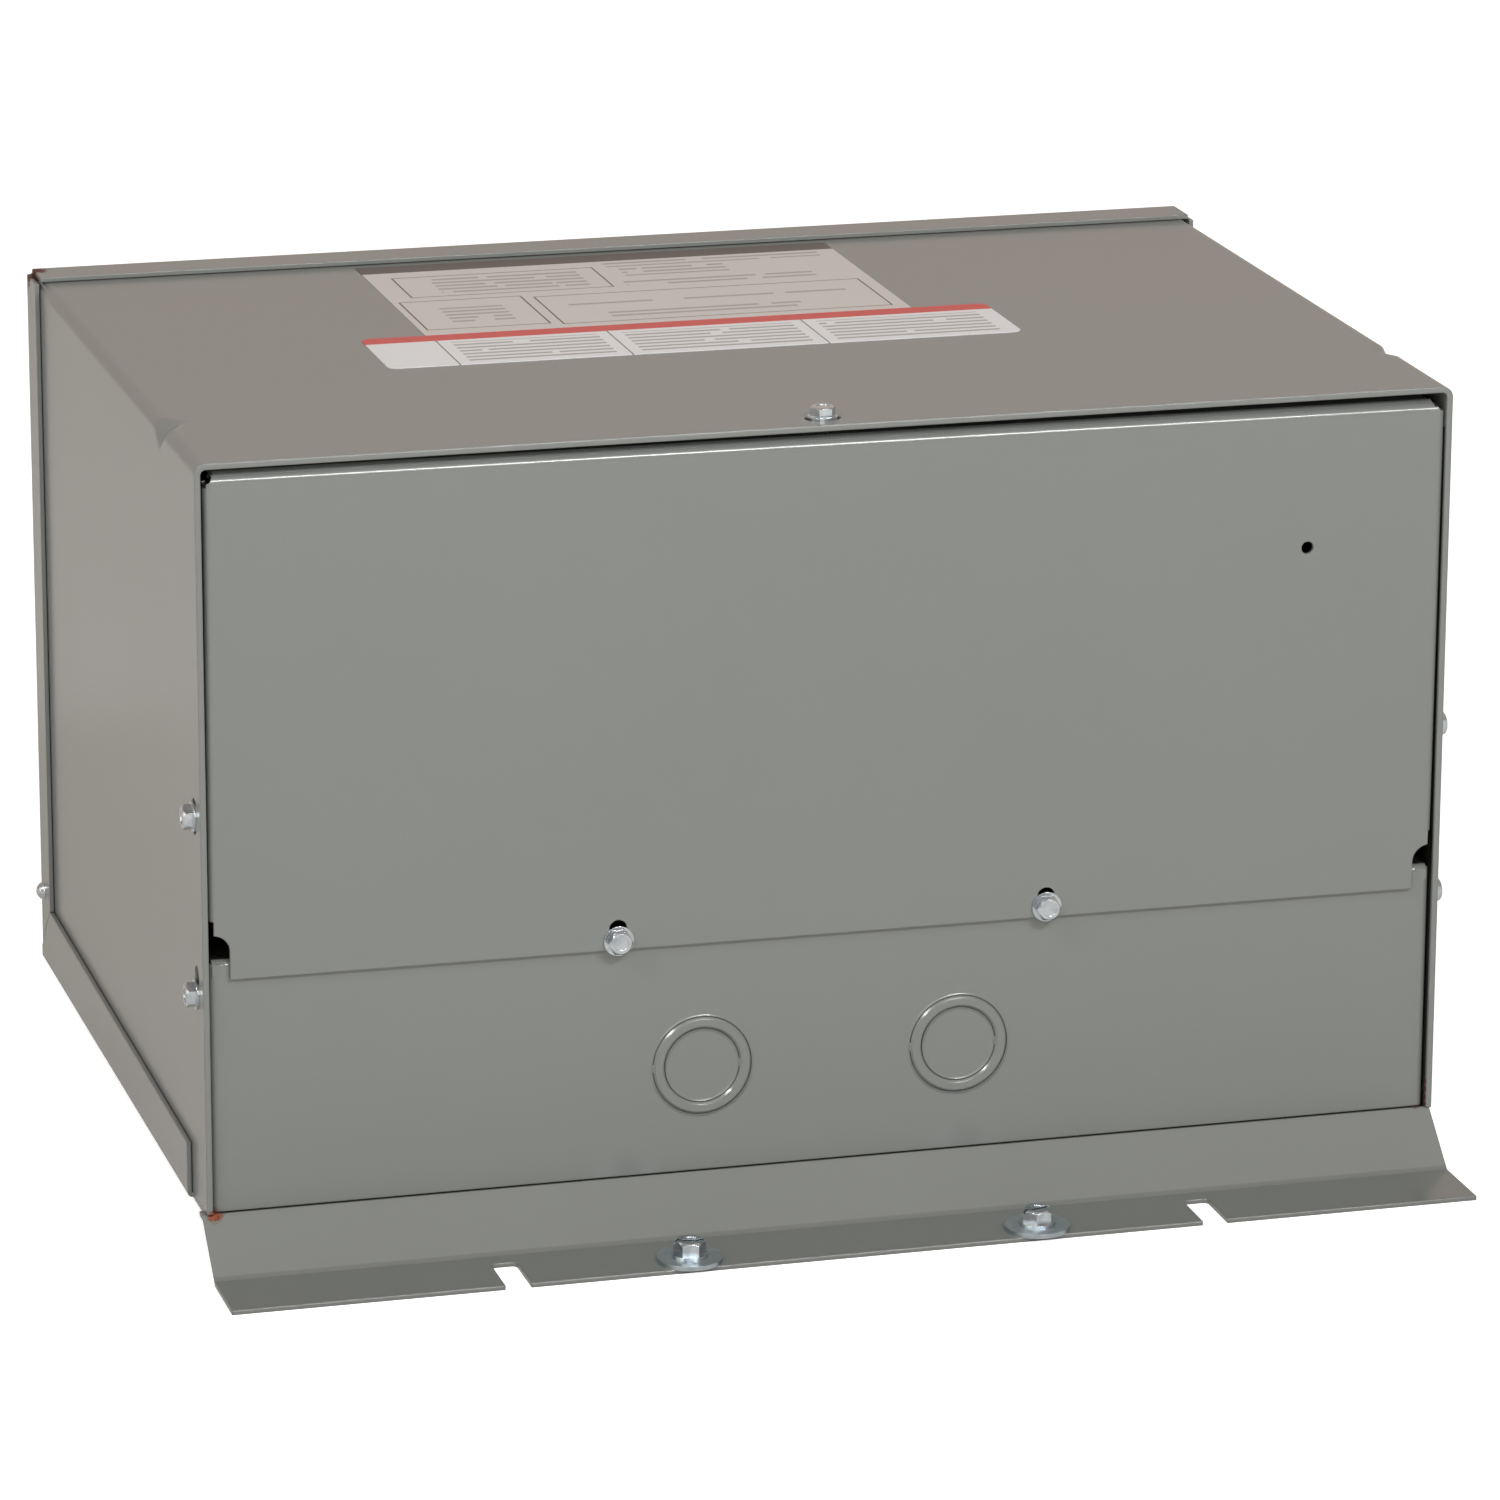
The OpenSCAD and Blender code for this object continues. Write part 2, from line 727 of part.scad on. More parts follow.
module knockout_panel() {
    half = panel_w / 2;
    low = base_z + panel_lift;
    color(paint) {
        difference() {
            union() {
                wall(panel_y, panel_y + sheet_t)
                    translate([-half + bend_r, low])
                        square([panel_w - 2 * bend_r, notch_z - low - bend_r]);
                // Upper flange, then the two sides; the lower edge is plain
                bar(-half + panel_corner, half - panel_corner)
                    translate([panel_y, notch_z])
                        mirror([0, 1])
                            bent_section(panel_flange, 2 * bend_r, sheet_t, bend_r);
                both_sides()
                    post(low, notch_z - panel_corner)
                        translate([half, panel_y])
                            mirror([1, 0])
                                bent_section(2 * bend_r, panel_flange, sheet_t, bend_r);
            }
            knockout_grooves();
            for (s = [-1, 1]) {
                translate([s * cover_screw_pitch / 2, panel_y, cover_screw_z])
                    rotate([90, 0, 0])
                        cylinder(r = screw_r + lap_gap / 2, h = 4 * sheet_t, center = true);
                // Room for the screw's shank behind the panel
                translate([s * cover_screw_pitch / 2 - shank_room[0] / 2, panel_y + sheet_t,
                    notch_z - shank_room[1] + eps])
                    cube([shank_room[0], panel_flange, shank_room[1]]);
                translate([s * half, front_y + edge_screw_y, base_z + lower_screw_z[(s + 1) / 2]])
                    rotate([0, 90, 0])
                        cylinder(r = screw_r + lap_gap / 2, h = 4 * sheet_t, center = true);
            }
        }
        knockout_rings();
    }
}

// Inside

// Board that closes the resin off from the wiring space
module barrier_board() {
    color("#6B4A33")
        difference() {
            translate([0, 0, base_z])
                wall(board_y, board_y + board_t)
                    arch(in_w - lap_gap, in_top - base_z - lap_gap / 2, wrap_r);
            for (p = all_leads)
                translate([p[0], board_y + board_t / 2, p[1]])
                    rotate([90, 0, 0])
                        cylinder(r = lead_hole_r, h = board_t + 2 * eps, center = true);
        }
}

// One EI lamination stack, standing on its yoke
module core_stack_at(x) {
    translate([x, 0, core_z])
        wall(core_y - core_stack / 2, core_y + core_stack / 2)
            difference() {
                translate([-core_w / 2, 0])
                    square([core_w, core_h]);
                for (s = [-1, 1])
                    translate([s * 1.5 * core_u - core_u / 2, core_u])
                        square([core_u, window_h]);
            }
}

// Folded strip that carries a core off the tray's floor
module core_stand_at(x) {
    leg = core_stack / 2 - stand_inset;
    bar(x - core_w / 2 + stand_end, x + core_w / 2 - stand_end)
        translate([core_y, base_z])
            difference() {
                union() {
                    translate([-leg, 0])
                        square([2 * leg, stand_h]);
                    translate([-leg - stand_foot, 0])
                        square([2 * (leg + stand_foot), stand_t]);
                }
                translate([-leg + stand_t, -eps])
                    square([2 * (leg - stand_t), stand_h - stand_t + eps]);
            }
}

// One wound layer of a coil, as a closed ring round the middle limb
module coil_layer(x, inner, inner_r, outer, outer_r) {
    translate([x, core_y, 0])
        post(coil_z + coil_gap, coil_z + coil_gap + coil_h)
            rounded_ring(outer, outer_r, inner, inner_r);
}

module coil_tube_at(x) {
    translate([x, core_y, 0])
        post(coil_z + coil_gap, coil_z + coil_gap + coil_h)
            difference() {
                rounded_rect(tube_out, coil_tube_t);
                square(tube_in, center = true);
            }
}

module primary_winding_at(x) {
    coil_layer(x, tube_out, coil_tube_t, primary_out, coil_tube_t + primary_t);
}

module layer_insulation_at(x) {
    r = coil_tube_t + primary_t;
    coil_layer(x, primary_out, r, layer_out, r + insulation_t);
}

module secondary_winding_at(x) {
    r = coil_tube_t + primary_t + insulation_t;
    coil_layer(x, layer_out, r, secondary_out, r + secondary_t);
}

module coil_wrap_at(x) {
    r = coil_tube_t + primary_t + insulation_t + secondary_t;
    coil_layer(x, secondary_out, r, wrap_out, r + insulation_t);
}

// Everything that the resin runs round, as filled shapes
module sunk_parts(x) {
    core_stack_at(x);
    translate([x, core_y, 0])
        post(coil_z, coil_z + window_h)
            rounded_rect(wrap_out, coil_tube_t + primary_t + 2 * insulation_t + secondary_t);
    core_stand_at(x);
}

module resin_fill() {
    color("#3A3632")
        difference() {
            translate([0, 0, base_z])
                wall(resin_y, rear_y - sheet_t)
                    arch(in_w, in_top - base_z, wrap_r - wrap_t);
            for (x = [main_x, teaser_x])
                sunk_parts(x);
            for (p = all_leads)
                lead_bore(p);
        }
}

module lead_bore(p) {
    translate([p[0], coil_front_y + eps, p[1]])
        rotate([90, 0, 0])
            cylinder(r = lead_r, h = coil_front_y - resin_y + 2 * eps);
}

// Lead: straight out of the coil through the resin and the board, then down
module lead(p) {
    turn_y = front_y + lead_front + lead_bend;
    color("#202124") {
        translate([p[0], coil_front_y, p[1]])
            rotate([90, 0, 0])
                cylinder(r = lead_r, h = coil_front_y - turn_y);
        translate([p[0], turn_y, p[1] - lead_bend])
            rotate([180, -90, 0])
                rotate_extrude(angle = 90)
                    translate([lead_bend, 0])
                        circle(lead_r);
        translate([p[0], front_y + lead_front, p[1] - lead_bend - lead_drop])
            cylinder(r = lead_r, h = lead_drop);
    }
}

module lead_strands() {
    color("#B5713A")
        for (p = all_leads)
            translate([p[0], front_y + lead_front, p[1] - lead_bend - lead_drop - strand_l])
                cylinder(r = strand_r, h = strand_l);
}

// Fasteners

// Hexagon screw with a flange under its head, point towards -Z, seated at Z = 0
module flanged_screw(r, af, flange_r, head_h, length, slotted) {
    corner_r = af / sqrt(3);
    flange_h = 0.12 * af;
    chamfer_h = 0.1 * af;
    chamfer_r = 0.46 * af;
    dish_r = 0.31 * af;
    dish_h = 0.03 * af;
    slot_h = 0.16 * af;
    slot_half = 0.07 * af;
    color(zinc)
        difference() {
            union() {
                translate([0, 0, -length])
                    cylinder(r = r, h = length);
                cylinder(r = flange_r, h = flange_h);
                intersection() {
                    cylinder(r = corner_r, h = head_h, $fn = 6);
                    union() {
                        cylinder(r = corner_r + eps, h = head_h - chamfer_h);
                        translate([0, 0, head_h - chamfer_h])
                            cylinder(r1 = corner_r, r2 = chamfer_r, h = chamfer_h);
                    }
                }
            }
            translate([0, 0, head_h - dish_h])
                cylinder(r = dish_r, h = af);
            if (slotted)
                translate([-af, -slot_half, head_h - slot_h])
                    cube([2 * af, 2 * slot_half, af]);
        }
}

module small_screw(length) {
    flanged_screw(screw_r, screw_af, 0.68 * screw_af, 0.56 * screw_af, length, false);
}

module cover_screw(side) {
    translate([side * cover_screw_pitch / 2, cover_back - sheet_t, cover_screw_z])
        rotate([90, 0, 0])
            small_screw(edge_screw_l);
}

module top_screw() {
    translate([top_screw_x, front_y + edge_screw_y, top_z])
        small_screw(edge_screw_l);
}

module side_screw(side, z) {
    translate([side * body_w / 2, front_y + edge_screw_y, base_z + z])
        rotate([0, side * 90, 0])
            small_screw(side_screw_l);
}

module foot_screw(side) {
    translate([side * foot_screw_pitch / 2, foot_screw_y, sheet_t + flat_washer_t])
        rotate([0, 0, side * foot_screw_turn])
            flanged_screw(big_screw_r, big_screw_af, 0.65 * big_screw_af, 0.6 * big_screw_af,
                sheet_t + flat_washer_t, true);
}

module foot_washer(side) {
    color(zinc)
        translate([side * foot_screw_pitch / 2, foot_screw_y, sheet_t])
            difference() {
                cylinder(r = flat_washer_r, h = flat_washer_t);
                translate([0, 0, -eps])
                    cylinder(r = big_screw_r + lap_gap, h = flat_washer_t + 2 * eps);
            }
}

// Round-headed screw through the cap's flange and the wrapper's side
module cap_screw(side) {
    head_h = 0.8 * cap_screw_r;
    sphere_r = (head_h * head_h + cap_screw_r * cap_screw_r) / (2 * head_h);
    color(zinc)
        translate([side * lap_x, cap_screw_y, cap_screw_z])
            rotate([0, side * 90, 0]) {
                intersection() {
                    translate([0, 0, head_h - sphere_r])
                        sphere(sphere_r);
                    cylinder(r = cap_screw_r, h = head_h);
                }
                translate([0, 0, -sheet_t])
                    cylinder(r = screw_r, h = sheet_t);
            }
}

module ground_screw() {
    translate([ground_x, ground_y, base_z + sheet_t])
        small_screw(ground_screw_l);
}

// Tongue under the ground screw, with the barrel that takes the earth wire
module ground_lug() {
    color(zinc)
        difference() {
            translate([ground_x, ground_y, base_z]) {
                cylinder(r = lug_r, h = sheet_t);
                translate([-lug_l, -lug_w / 2, 0])
                    cube([lug_l, lug_w, sheet_t]);
                translate([-lug_l, -lug_w / 2, 0])
                    cube([lug_barrel[0], lug_w, lug_barrel[1]]);
            }
            translate([ground_x, ground_y, base_z - eps])
                cylinder(r = screw_r + lap_gap / 2, h = sheet_t + 2 * eps);
            translate([ground_x - lug_l - eps, ground_y, base_z + lug_wire_z])
                rotate([0, 90, 0])
                    cylinder(r = lug_wire_r, h = lug_barrel[0] + 2 * eps);
        }
}

// Labels

module data_label() {
    color("#C9CAC7")
        translate([data_x, front_y + data_y + data_d / 2, 0])
            post(top_z, top_z + label_t)
                square([data_w, data_d], center = true);
}

module striped_label() {
    color("#E8E6E2")
        translate([stripe_x, front_y + data_y - lap_gap - stripe_d / 2, 0])
            post(top_z, top_z + label_t)
                rounded_rect([stripe_w, stripe_d], label_r);
}

wrapper();
rear_cap();
base_tray();
front_cover();
knockout_panel();
barrier_board();
resin_fill();
color("#4A4D52") core_stack_at(main_x);  // core_main
color("#4A4D52") core_stack_at(teaser_x);  // core_teaser
color("#7A7D80") core_stand_at(main_x);  // core_stand_main
color("#7A7D80") core_stand_at(teaser_x);  // core_stand_teaser
color("#C8B48A") coil_tube_at(main_x);  // coil_tube_main
color("#C8B48A") coil_tube_at(teaser_x);  // coil_tube_teaser
color("#B5713A") primary_winding_at(main_x);  // primary_winding_main
color("#B5713A") primary_winding_at(teaser_x);  // primary_winding_teaser
color("#D8C79C") layer_insulation_at(main_x);  // layer_insulation_main
color("#D8C79C") layer_insulation_at(teaser_x);  // layer_insulation_teaser
color("#B5713A") secondary_winding_at(main_x);  // secondary_winding_main
color("#B5713A") secondary_winding_at(teaser_x);  // secondary_winding_teaser
color("#D8C79C") coil_wrap_at(main_x);  // coil_wrap_main
color("#D8C79C") coil_wrap_at(teaser_x);  // coil_wrap_teaser
lead(primary_leads[0]);  // primary_lead_1
lead(primary_leads[1]);  // primary_lead_2
lead(primary_leads[2]);  // primary_lead_3
lead(secondary_leads[0]);  // secondary_lead_1
lead(secondary_leads[1]);  // secondary_lead_2
lead(secondary_leads[2]);  // secondary_lead_3
lead(secondary_leads[3]);  // neutral_lead
lead_strands();
cover_screw(-1);  // cover_screw_left
cover_screw(1);  // cover_screw_right
top_screw();
side_screw(-1, upper_screw_z);  // side_screw_left_upper
side_screw(-1, lower_screw_z[0]);  // side_screw_left_lower
side_screw(1, upper_screw_z);  // side_screw_right_upper
side_screw(1, lower_screw_z[1]);  // side_screw_right_lower
foot_screw(-1);  // foot_screw_left
foot_screw(1);  // foot_screw_right
foot_washer(-1);  // foot_washer_left
foot_washer(1);  // foot_washer_right
cap_screw(-1);  // cap_screw_left
cap_screw(1);  // cap_screw_right
ground_screw();
ground_lug();
data_label();
striped_label();
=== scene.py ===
# %% [markdown]
# A resin-filled transformer in a folded steel case, dressed for its picture.
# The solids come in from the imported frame, in metres, and none of them is moved.
# What is left to do is the finish: painted steel, zinc screws, printed labels and light.

# %% Load the frame
import json
import math

import bpy
import numpy as np
from mathutils import Matrix, Vector


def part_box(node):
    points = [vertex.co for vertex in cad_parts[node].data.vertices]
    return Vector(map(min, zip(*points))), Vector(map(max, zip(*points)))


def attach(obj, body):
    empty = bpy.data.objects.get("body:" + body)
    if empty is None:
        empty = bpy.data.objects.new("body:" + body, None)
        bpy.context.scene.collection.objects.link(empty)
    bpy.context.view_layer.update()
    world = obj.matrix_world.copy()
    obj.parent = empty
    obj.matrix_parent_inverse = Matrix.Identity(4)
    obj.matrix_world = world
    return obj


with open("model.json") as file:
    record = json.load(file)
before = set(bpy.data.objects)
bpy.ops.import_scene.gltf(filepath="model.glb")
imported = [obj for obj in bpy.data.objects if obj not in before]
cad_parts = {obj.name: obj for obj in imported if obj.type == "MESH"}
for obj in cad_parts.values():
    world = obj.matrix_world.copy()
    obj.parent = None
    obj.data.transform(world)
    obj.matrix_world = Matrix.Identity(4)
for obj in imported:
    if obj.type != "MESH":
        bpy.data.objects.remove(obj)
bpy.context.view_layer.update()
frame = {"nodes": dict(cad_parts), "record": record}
nodes = frame["nodes"]
MM = 0.001

# %% [markdown]
# The camera stands where the photographer stood: a long lens, a little to the left of the
# case and above it. The place and the angles were solved from the straight edges of the case.

# %% Camera
EYE = Vector((-0.5570, -2.0318, 0.7130))
TURN = math.radians(15.581)
DIP = math.radians(16.175)
ROLL = math.radians(0.214)
SENSOR = 36.0
FOCAL_PIXELS = 7400.0
IMAGE_PIXELS = 1500.0
NEAREST, FARTHEST = 0.1, 50.0


def look(turn, dip, roll):
    """Turns a camera: its axis points along (sin turn, cos turn) on the floor and dips below it,
    and its right-hand side is rolled about that axis."""
    ahead = Vector((math.sin(turn) * math.cos(dip), math.cos(turn) * math.cos(dip), -math.sin(dip)))
    level = Vector((math.cos(turn), -math.sin(turn), 0.0))
    upright = level.cross(ahead)
    right = math.cos(roll) * level + math.sin(roll) * upright
    up = right.cross(ahead)
    return Matrix((right, up, -ahead)).transposed()


camera = bpy.data.objects.new("camera", bpy.data.cameras.new("camera"))
camera.data.sensor_width = SENSOR
camera.data.lens = FOCAL_PIXELS * SENSOR / IMAGE_PIXELS
camera.data.clip_start = NEAREST
camera.data.clip_end = FARTHEST
camera.matrix_world = Matrix.Translation(EYE) @ look(TURN, DIP, ROLL).to_4x4()
bpy.context.scene.collection.objects.link(camera)
bpy.context.scene.camera = camera
print("lens in mm:", round(camera.data.lens, 1))

# %% [markdown]
# Materials are built from small node trees. These helpers place one node each and return its
# output socket, so that a finish reads like a sum: mask = calc(tree, "MULTIPLY", a, b).

# %% Nodes for numbers
def feed(tree, socket, value):
    """Links a socket, or sets a plain value."""
    if isinstance(value, bpy.types.NodeSocket):
        tree.links.new(value, socket)
    else:
        socket.default_value = value


def calc(tree, operation, a, b=0.0, clamp=False):
    """One Math node."""
    node = tree.nodes.new("ShaderNodeMath")
    node.operation = operation
    node.use_clamp = clamp
    feed(tree, node.inputs[0], a)
    feed(tree, node.inputs[1], b)
    return node.outputs[0]


def product(tree, first, *others):
    """All values multiplied together. For masks this is where all of them hold."""
    for other in others:
        first = calc(tree, "MULTIPLY", first, other)
    return first


def opposite(tree, mask):
    """1 minus a mask."""
    return calc(tree, "SUBTRACT", 1.0, mask)


def ramp(tree, value, low, high):
    """0 below low, 1 above high and a soft step between them."""
    node = tree.nodes.new("ShaderNodeMapRange")
    node.interpolation_type = "SMOOTHSTEP"
    feed(tree, node.inputs["Value"], value)
    feed(tree, node.inputs["From Min"], low)
    feed(tree, node.inputs["From Max"], high)
    return node.outputs["Result"]


print("nodes for numbers:", [helper.__name__ for helper in (calc, product, opposite, ramp)])

# %% Nodes for places and normals
def place(tree):
    """The point's place on the object, in metres."""
    return tree.nodes.new("ShaderNodeTexCoord").outputs["Object"]


def axes(tree, vector):
    """The X, Y and Z of a vector, found by name."""
    node = tree.nodes.new("ShaderNodeSeparateXYZ")
    tree.links.new(vector, node.inputs[0])
    return node.outputs


def vector_calc(tree, operation, a, b):
    """One Vector Math node: its value output for a distance or a dot product, else its vector."""
    node = tree.nodes.new("ShaderNodeVectorMath")
    node.operation = operation
    feed(tree, node.inputs[0], a)
    feed(tree, node.inputs[1], b)
    return node.outputs["Value" if operation in ("DISTANCE", "DOT_PRODUCT") else "Vector"]


def noise(tree, vector, scale, detail=3.0, roughness=0.5):
    """Soft random field of about 0 to 1."""
    node = tree.nodes.new("ShaderNodeTexNoise")
    feed(tree, node.inputs["Vector"], vector)
    feed(tree, node.inputs["Scale"], scale)
    node.inputs["Detail"].default_value = detail
    node.inputs["Roughness"].default_value = roughness
    return node.outputs["Fac"]


def bumped(tree, height, normal=None, distance=1.0):
    """The normal of a surface that is raised by height times distance, in metres."""
    node = tree.nodes.new("ShaderNodeBump")
    node.inputs["Distance"].default_value = distance
    tree.links.new(height, node.inputs["Height"])
    if normal is not None:
        tree.links.new(normal, node.inputs["Normal"])
    return node.outputs["Normal"]


print("nodes for places:", [helper.__name__ for helper in (place, axes, noise, bumped)])

# %% [markdown]
# Colours are written as a screen shows them, in hexadecimal, and made linear for the shader.

# %% Colours
def linear(text):
    """Linear colour of a hexadecimal screen colour, by the standard screen curve."""
    screen = np.array([int(text[i:i + 2], 16) for i in (0, 2, 4)]) / 255
    value = np.where(screen <= 0.04045, screen / 12.92, ((screen + 0.055) / 1.055) ** 2.4)
    return (*[float(v) for v in value], 1.0)


def mixed(tree, amount, a, b):
    """Colour a, with colour b over it by amount."""
    node = tree.nodes.new("ShaderNodeMix")
    node.data_type = "RGBA"
    feed(tree, node.inputs["Factor"], amount)
    feed(tree, node.inputs["A"], a)
    feed(tree, node.inputs["B"], b)
    return node.outputs["Result"]


print("mid grey of the screen, made linear:", round(linear("808080")[0], 3))

# %% [markdown]
# An effect that several finishes share is a node group: a small tree with named inputs and
# outputs, built once and placed in each material with its own values.

# %% Node groups
FLOAT = "NodeSocketFloat"
VECTOR = "NodeSocketVector"


def new_group(name, inputs, outputs):
    """An empty node group with named sockets: each input is (type, default)."""
    tree = bpy.data.node_groups.new(name, "ShaderNodeTree")
    for label, (kind, default) in inputs.items():
        socket = tree.interface.new_socket(label, in_out="INPUT", socket_type=kind)
        if default is not None:
            socket.default_value = default
    for label, kind in outputs.items():
        tree.interface.new_socket(label, in_out="OUTPUT", socket_type=kind)
    given = tree.nodes.new("NodeGroupInput")
    result = tree.nodes.new("NodeGroupOutput")
    return tree, given.outputs, result.inputs


def use_group(tree, group, **values):
    """Places a node group in a tree. A keyword is the socket's name with _ for each space."""
    node = tree.nodes.new("ShaderNodeGroup")
    node.node_tree = group
    for label, value in values.items():
        feed(tree, node.inputs[label.replace("_", " ")], value)
    return node.outputs


# %% [markdown]
# Sheared and folded steel has a small round on every edge, which catches the light as a thin
# line. A Bevel node rounds it in the shading, and where it bends the normal, paint wears off.

# %% Soft edge
BEVEL_SAMPLES = 6


def build_soft_edge():
    """Rounds edges in the shading: the normal turns smoothly within a radius of an edge.
    Wear is 1 minus the dot product of the flat and the rounded normal, as a soft step, times
    a patchy noise."""
    tree, given, result = new_group(
        "Soft edge",
        {"Place": (VECTOR, None), "Radius": (FLOAT, 0.3 * MM), "Patch Size": (FLOAT, 90.0)},
        {"Normal": VECTOR, "Wear": FLOAT},
    )
    bevel = tree.nodes.new("ShaderNodeBevel")
    bevel.samples = BEVEL_SAMPLES
    tree.links.new(given["Radius"], bevel.inputs["Radius"])
    flat = tree.nodes.new("ShaderNodeNewGeometry").outputs["Normal"]
    bend = opposite(tree, vector_calc(tree, "DOT_PRODUCT", flat, bevel.outputs["Normal"]))
    grain = noise(tree, given["Place"], given["Patch Size"], detail=4.0, roughness=0.6)
    wear = product(tree, ramp(tree, bend, 0.02, 0.16), ramp(tree, grain, 0.5, 0.72))
    tree.links.new(wear, result["Wear"])
    tree.links.new(bevel.outputs["Normal"], result["Normal"])
    return tree


SOFT_EDGE = build_soft_edge()
print("effect:", SOFT_EDGE.name, "with", len(SOFT_EDGE.nodes), "nodes")

# %% [markdown]
# Sprayed enamel never dries quite flat: it has a fine orange peel and a slow swell, far too
# shallow to model, so both are a height that a Bump node turns into a normal.

# %% Orange peel
def build_orange_peel():
    """Height is a fine noise plus a slow one, each times its own depth in metres."""
    tree, given, result = new_group(
        "Orange peel",
        {"Place": (VECTOR, None), "Normal": (VECTOR, None),
         "Grain": (FLOAT, 900.0), "Depth": (FLOAT, 0.002 * MM),
         "Swell Size": (FLOAT, 9.0), "Swell": (FLOAT, 0.03 * MM)},
        {"Normal": VECTOR},
    )
    fine = product(tree, noise(tree, given["Place"], given["Grain"], detail=2.0), given["Depth"])
    slow = noise(tree, given["Place"], given["Swell Size"], detail=1.0)
    height = calc(tree, "ADD", fine, product(tree, slow, given["Swell"]))
    tree.links.new(bumped(tree, height, given["Normal"]), result["Normal"])
    return tree


ORANGE_PEEL = build_orange_peel()
print("effect:", ORANGE_PEEL.name, "with", len(ORANGE_PEEL.nodes), "nodes")

# %% [markdown]
# Rust starts in a spot with a ragged rim. A noise pushes the rim in and out.

# %% Ragged spot
def build_spot():
    """Mask of a ragged spot. The distance from its middle is divided by its radius, the noise
    is added, and the mask falls off softly once the sum passes 1."""
    tree, given, result = new_group(
        "Ragged spot",
        {"Place": (VECTOR, None), "Middle": (VECTOR, None), "Radius": (FLOAT, 3 * MM),
         "Rag Size": (FLOAT, 700.0), "Rag Depth": (FLOAT, 1.1)},
        {"Mask": FLOAT},
    )
    distance = vector_calc(tree, "DISTANCE", given["Place"], given["Middle"])
    away = calc(tree, "DIVIDE", distance, given["Radius"])
    grain = noise(tree, given["Place"], given["Rag Size"], detail=4.0, roughness=0.65)
    rim = calc(tree, "ADD", away, product(tree, grain, given["Rag Depth"]))
    tree.links.new(opposite(tree, ramp(tree, rim, 1.0, 1.45)), result["Mask"])
    return tree


SPOT = build_spot()
print("effect:", SPOT.name, "with", len(SPOT.nodes), "nodes")

# %% [markdown]
# The print on the labels is made of plain rectangles, so one group gives a rectangle's mask.

# %% Print field
def build_field():
    """Mask of a rectangle in X and Y: inside where both distances from the middle are
    less than half the width and half the depth."""
    tree, given, result = new_group(
        "Print field",
        {"Place": (VECTOR, None), "Middle X": (FLOAT, 0.0), "Middle Y": (FLOAT, 0.0),
         "Half Width": (FLOAT, 0.01), "Half Depth": (FLOAT, 0.01)},
        {"Mask": FLOAT},
    )
    split = axes(tree, given["Place"])
    inside = []
    for axis, middle, half in (("X", "Middle X", "Half Width"), ("Y", "Middle Y", "Half Depth")):
        away = calc(tree, "ABSOLUTE", calc(tree, "SUBTRACT", split[axis], given[middle]))
        inside.append(calc(tree, "LESS_THAN", away, given[half]))
    tree.links.new(product(tree, *inside), result["Mask"])
    return tree


FIELD = build_field()
print("effect:", FIELD.name, "with", len(FIELD.nodes), "nodes")

# %% [markdown]
# A knockout is pressed into the panel between two rings, so the sheet swings up to each ring
# in a soft shoulder of about a millimetre. The solid has the ring with a sharp foot, and the
# shoulder is left to the shading as a height.

# %% Pressed shoulder
def build_shoulder():
    """Height of a pressed ring's two soft shoulders, in metres. With d = how far a point is
    inside the shoulder's width, from 0 to 1, the height is width * d squared / 2, so that the
    slope grows evenly from flat to 45 degrees."""
    tree, given, result = new_group(
        "Pressed shoulder",
        {"Place": (VECTOR, None), "Middle X": (FLOAT, 0.0), "Middle Z": (FLOAT, 0.0),
         "Outer": (FLOAT, 0.01), "Inner": (FLOAT, 0.005), "Width": (FLOAT, 0.001)},
        {"Height": FLOAT},
    )
    split = axes(tree, given["Place"])
    width = given["Width"]
    squares = []
    for axis, middle in (("X", "Middle X"), ("Z", "Middle Z")):
        away = calc(tree, "SUBTRACT", split[axis], given[middle])
        squares.append(product(tree, away, away))
    radius = calc(tree, "SQRT", calc(tree, "ADD", *squares))
    outside = calc(tree, "SUBTRACT", calc(tree, "ADD", given["Outer"], width), radius)
    within = calc(tree, "SUBTRACT", radius, calc(tree, "SUBTRACT", given["Inner"], width))
    heights = []
    for gap in (outside, within):
        share = calc(tree, "DIVIDE", gap, width, clamp=True)
        heights.append(product(tree, product(tree, share, share), product(tree, width, 0.5)))
    tree.links.new(calc(tree, "ADD", *heights), result["Height"])
    return tree


SHOULDER = build_shoulder()
print("effect:", SHOULDER.name, "with", len(SHOULDER.nodes), "nodes")

# %% [markdown]
# Each finish is one Principled shader with its own tree. The plain values go straight on its
# sockets, and only what changes over the surface is linked.

# %% An empty finish
def principled(name, roughness, metallic=0.0, specular=0.5):
    """A new material with one Principled shader. Returns the material, its tree and the
    shader."""
    material = bpy.data.materials.new(name)
    material.use_nodes = True
    shader = material.node_tree.nodes["Principled BSDF"]
    shader.inputs["Roughness"].default_value = roughness
    shader.inputs["Metallic"].default_value = metallic
    shader.inputs["Specular IOR Level"].default_value = specular
    return material, material.node_tree, shader


# %% [markdown]
# Rust has started where water sits: at the two lower front corners and in the left rear
# corner of the cap. At the lower right it is a thin line along the gap, made of small spots
# one above the other.

# %% Rust
RUST_DARK = linear("4A2118")
RUST_BRIGHT = linear("A8572F")
BLOTCH_SIZE = 1500.0
LINE_HEIGHTS = (1.8, 4.0, 6.4, 8.8)


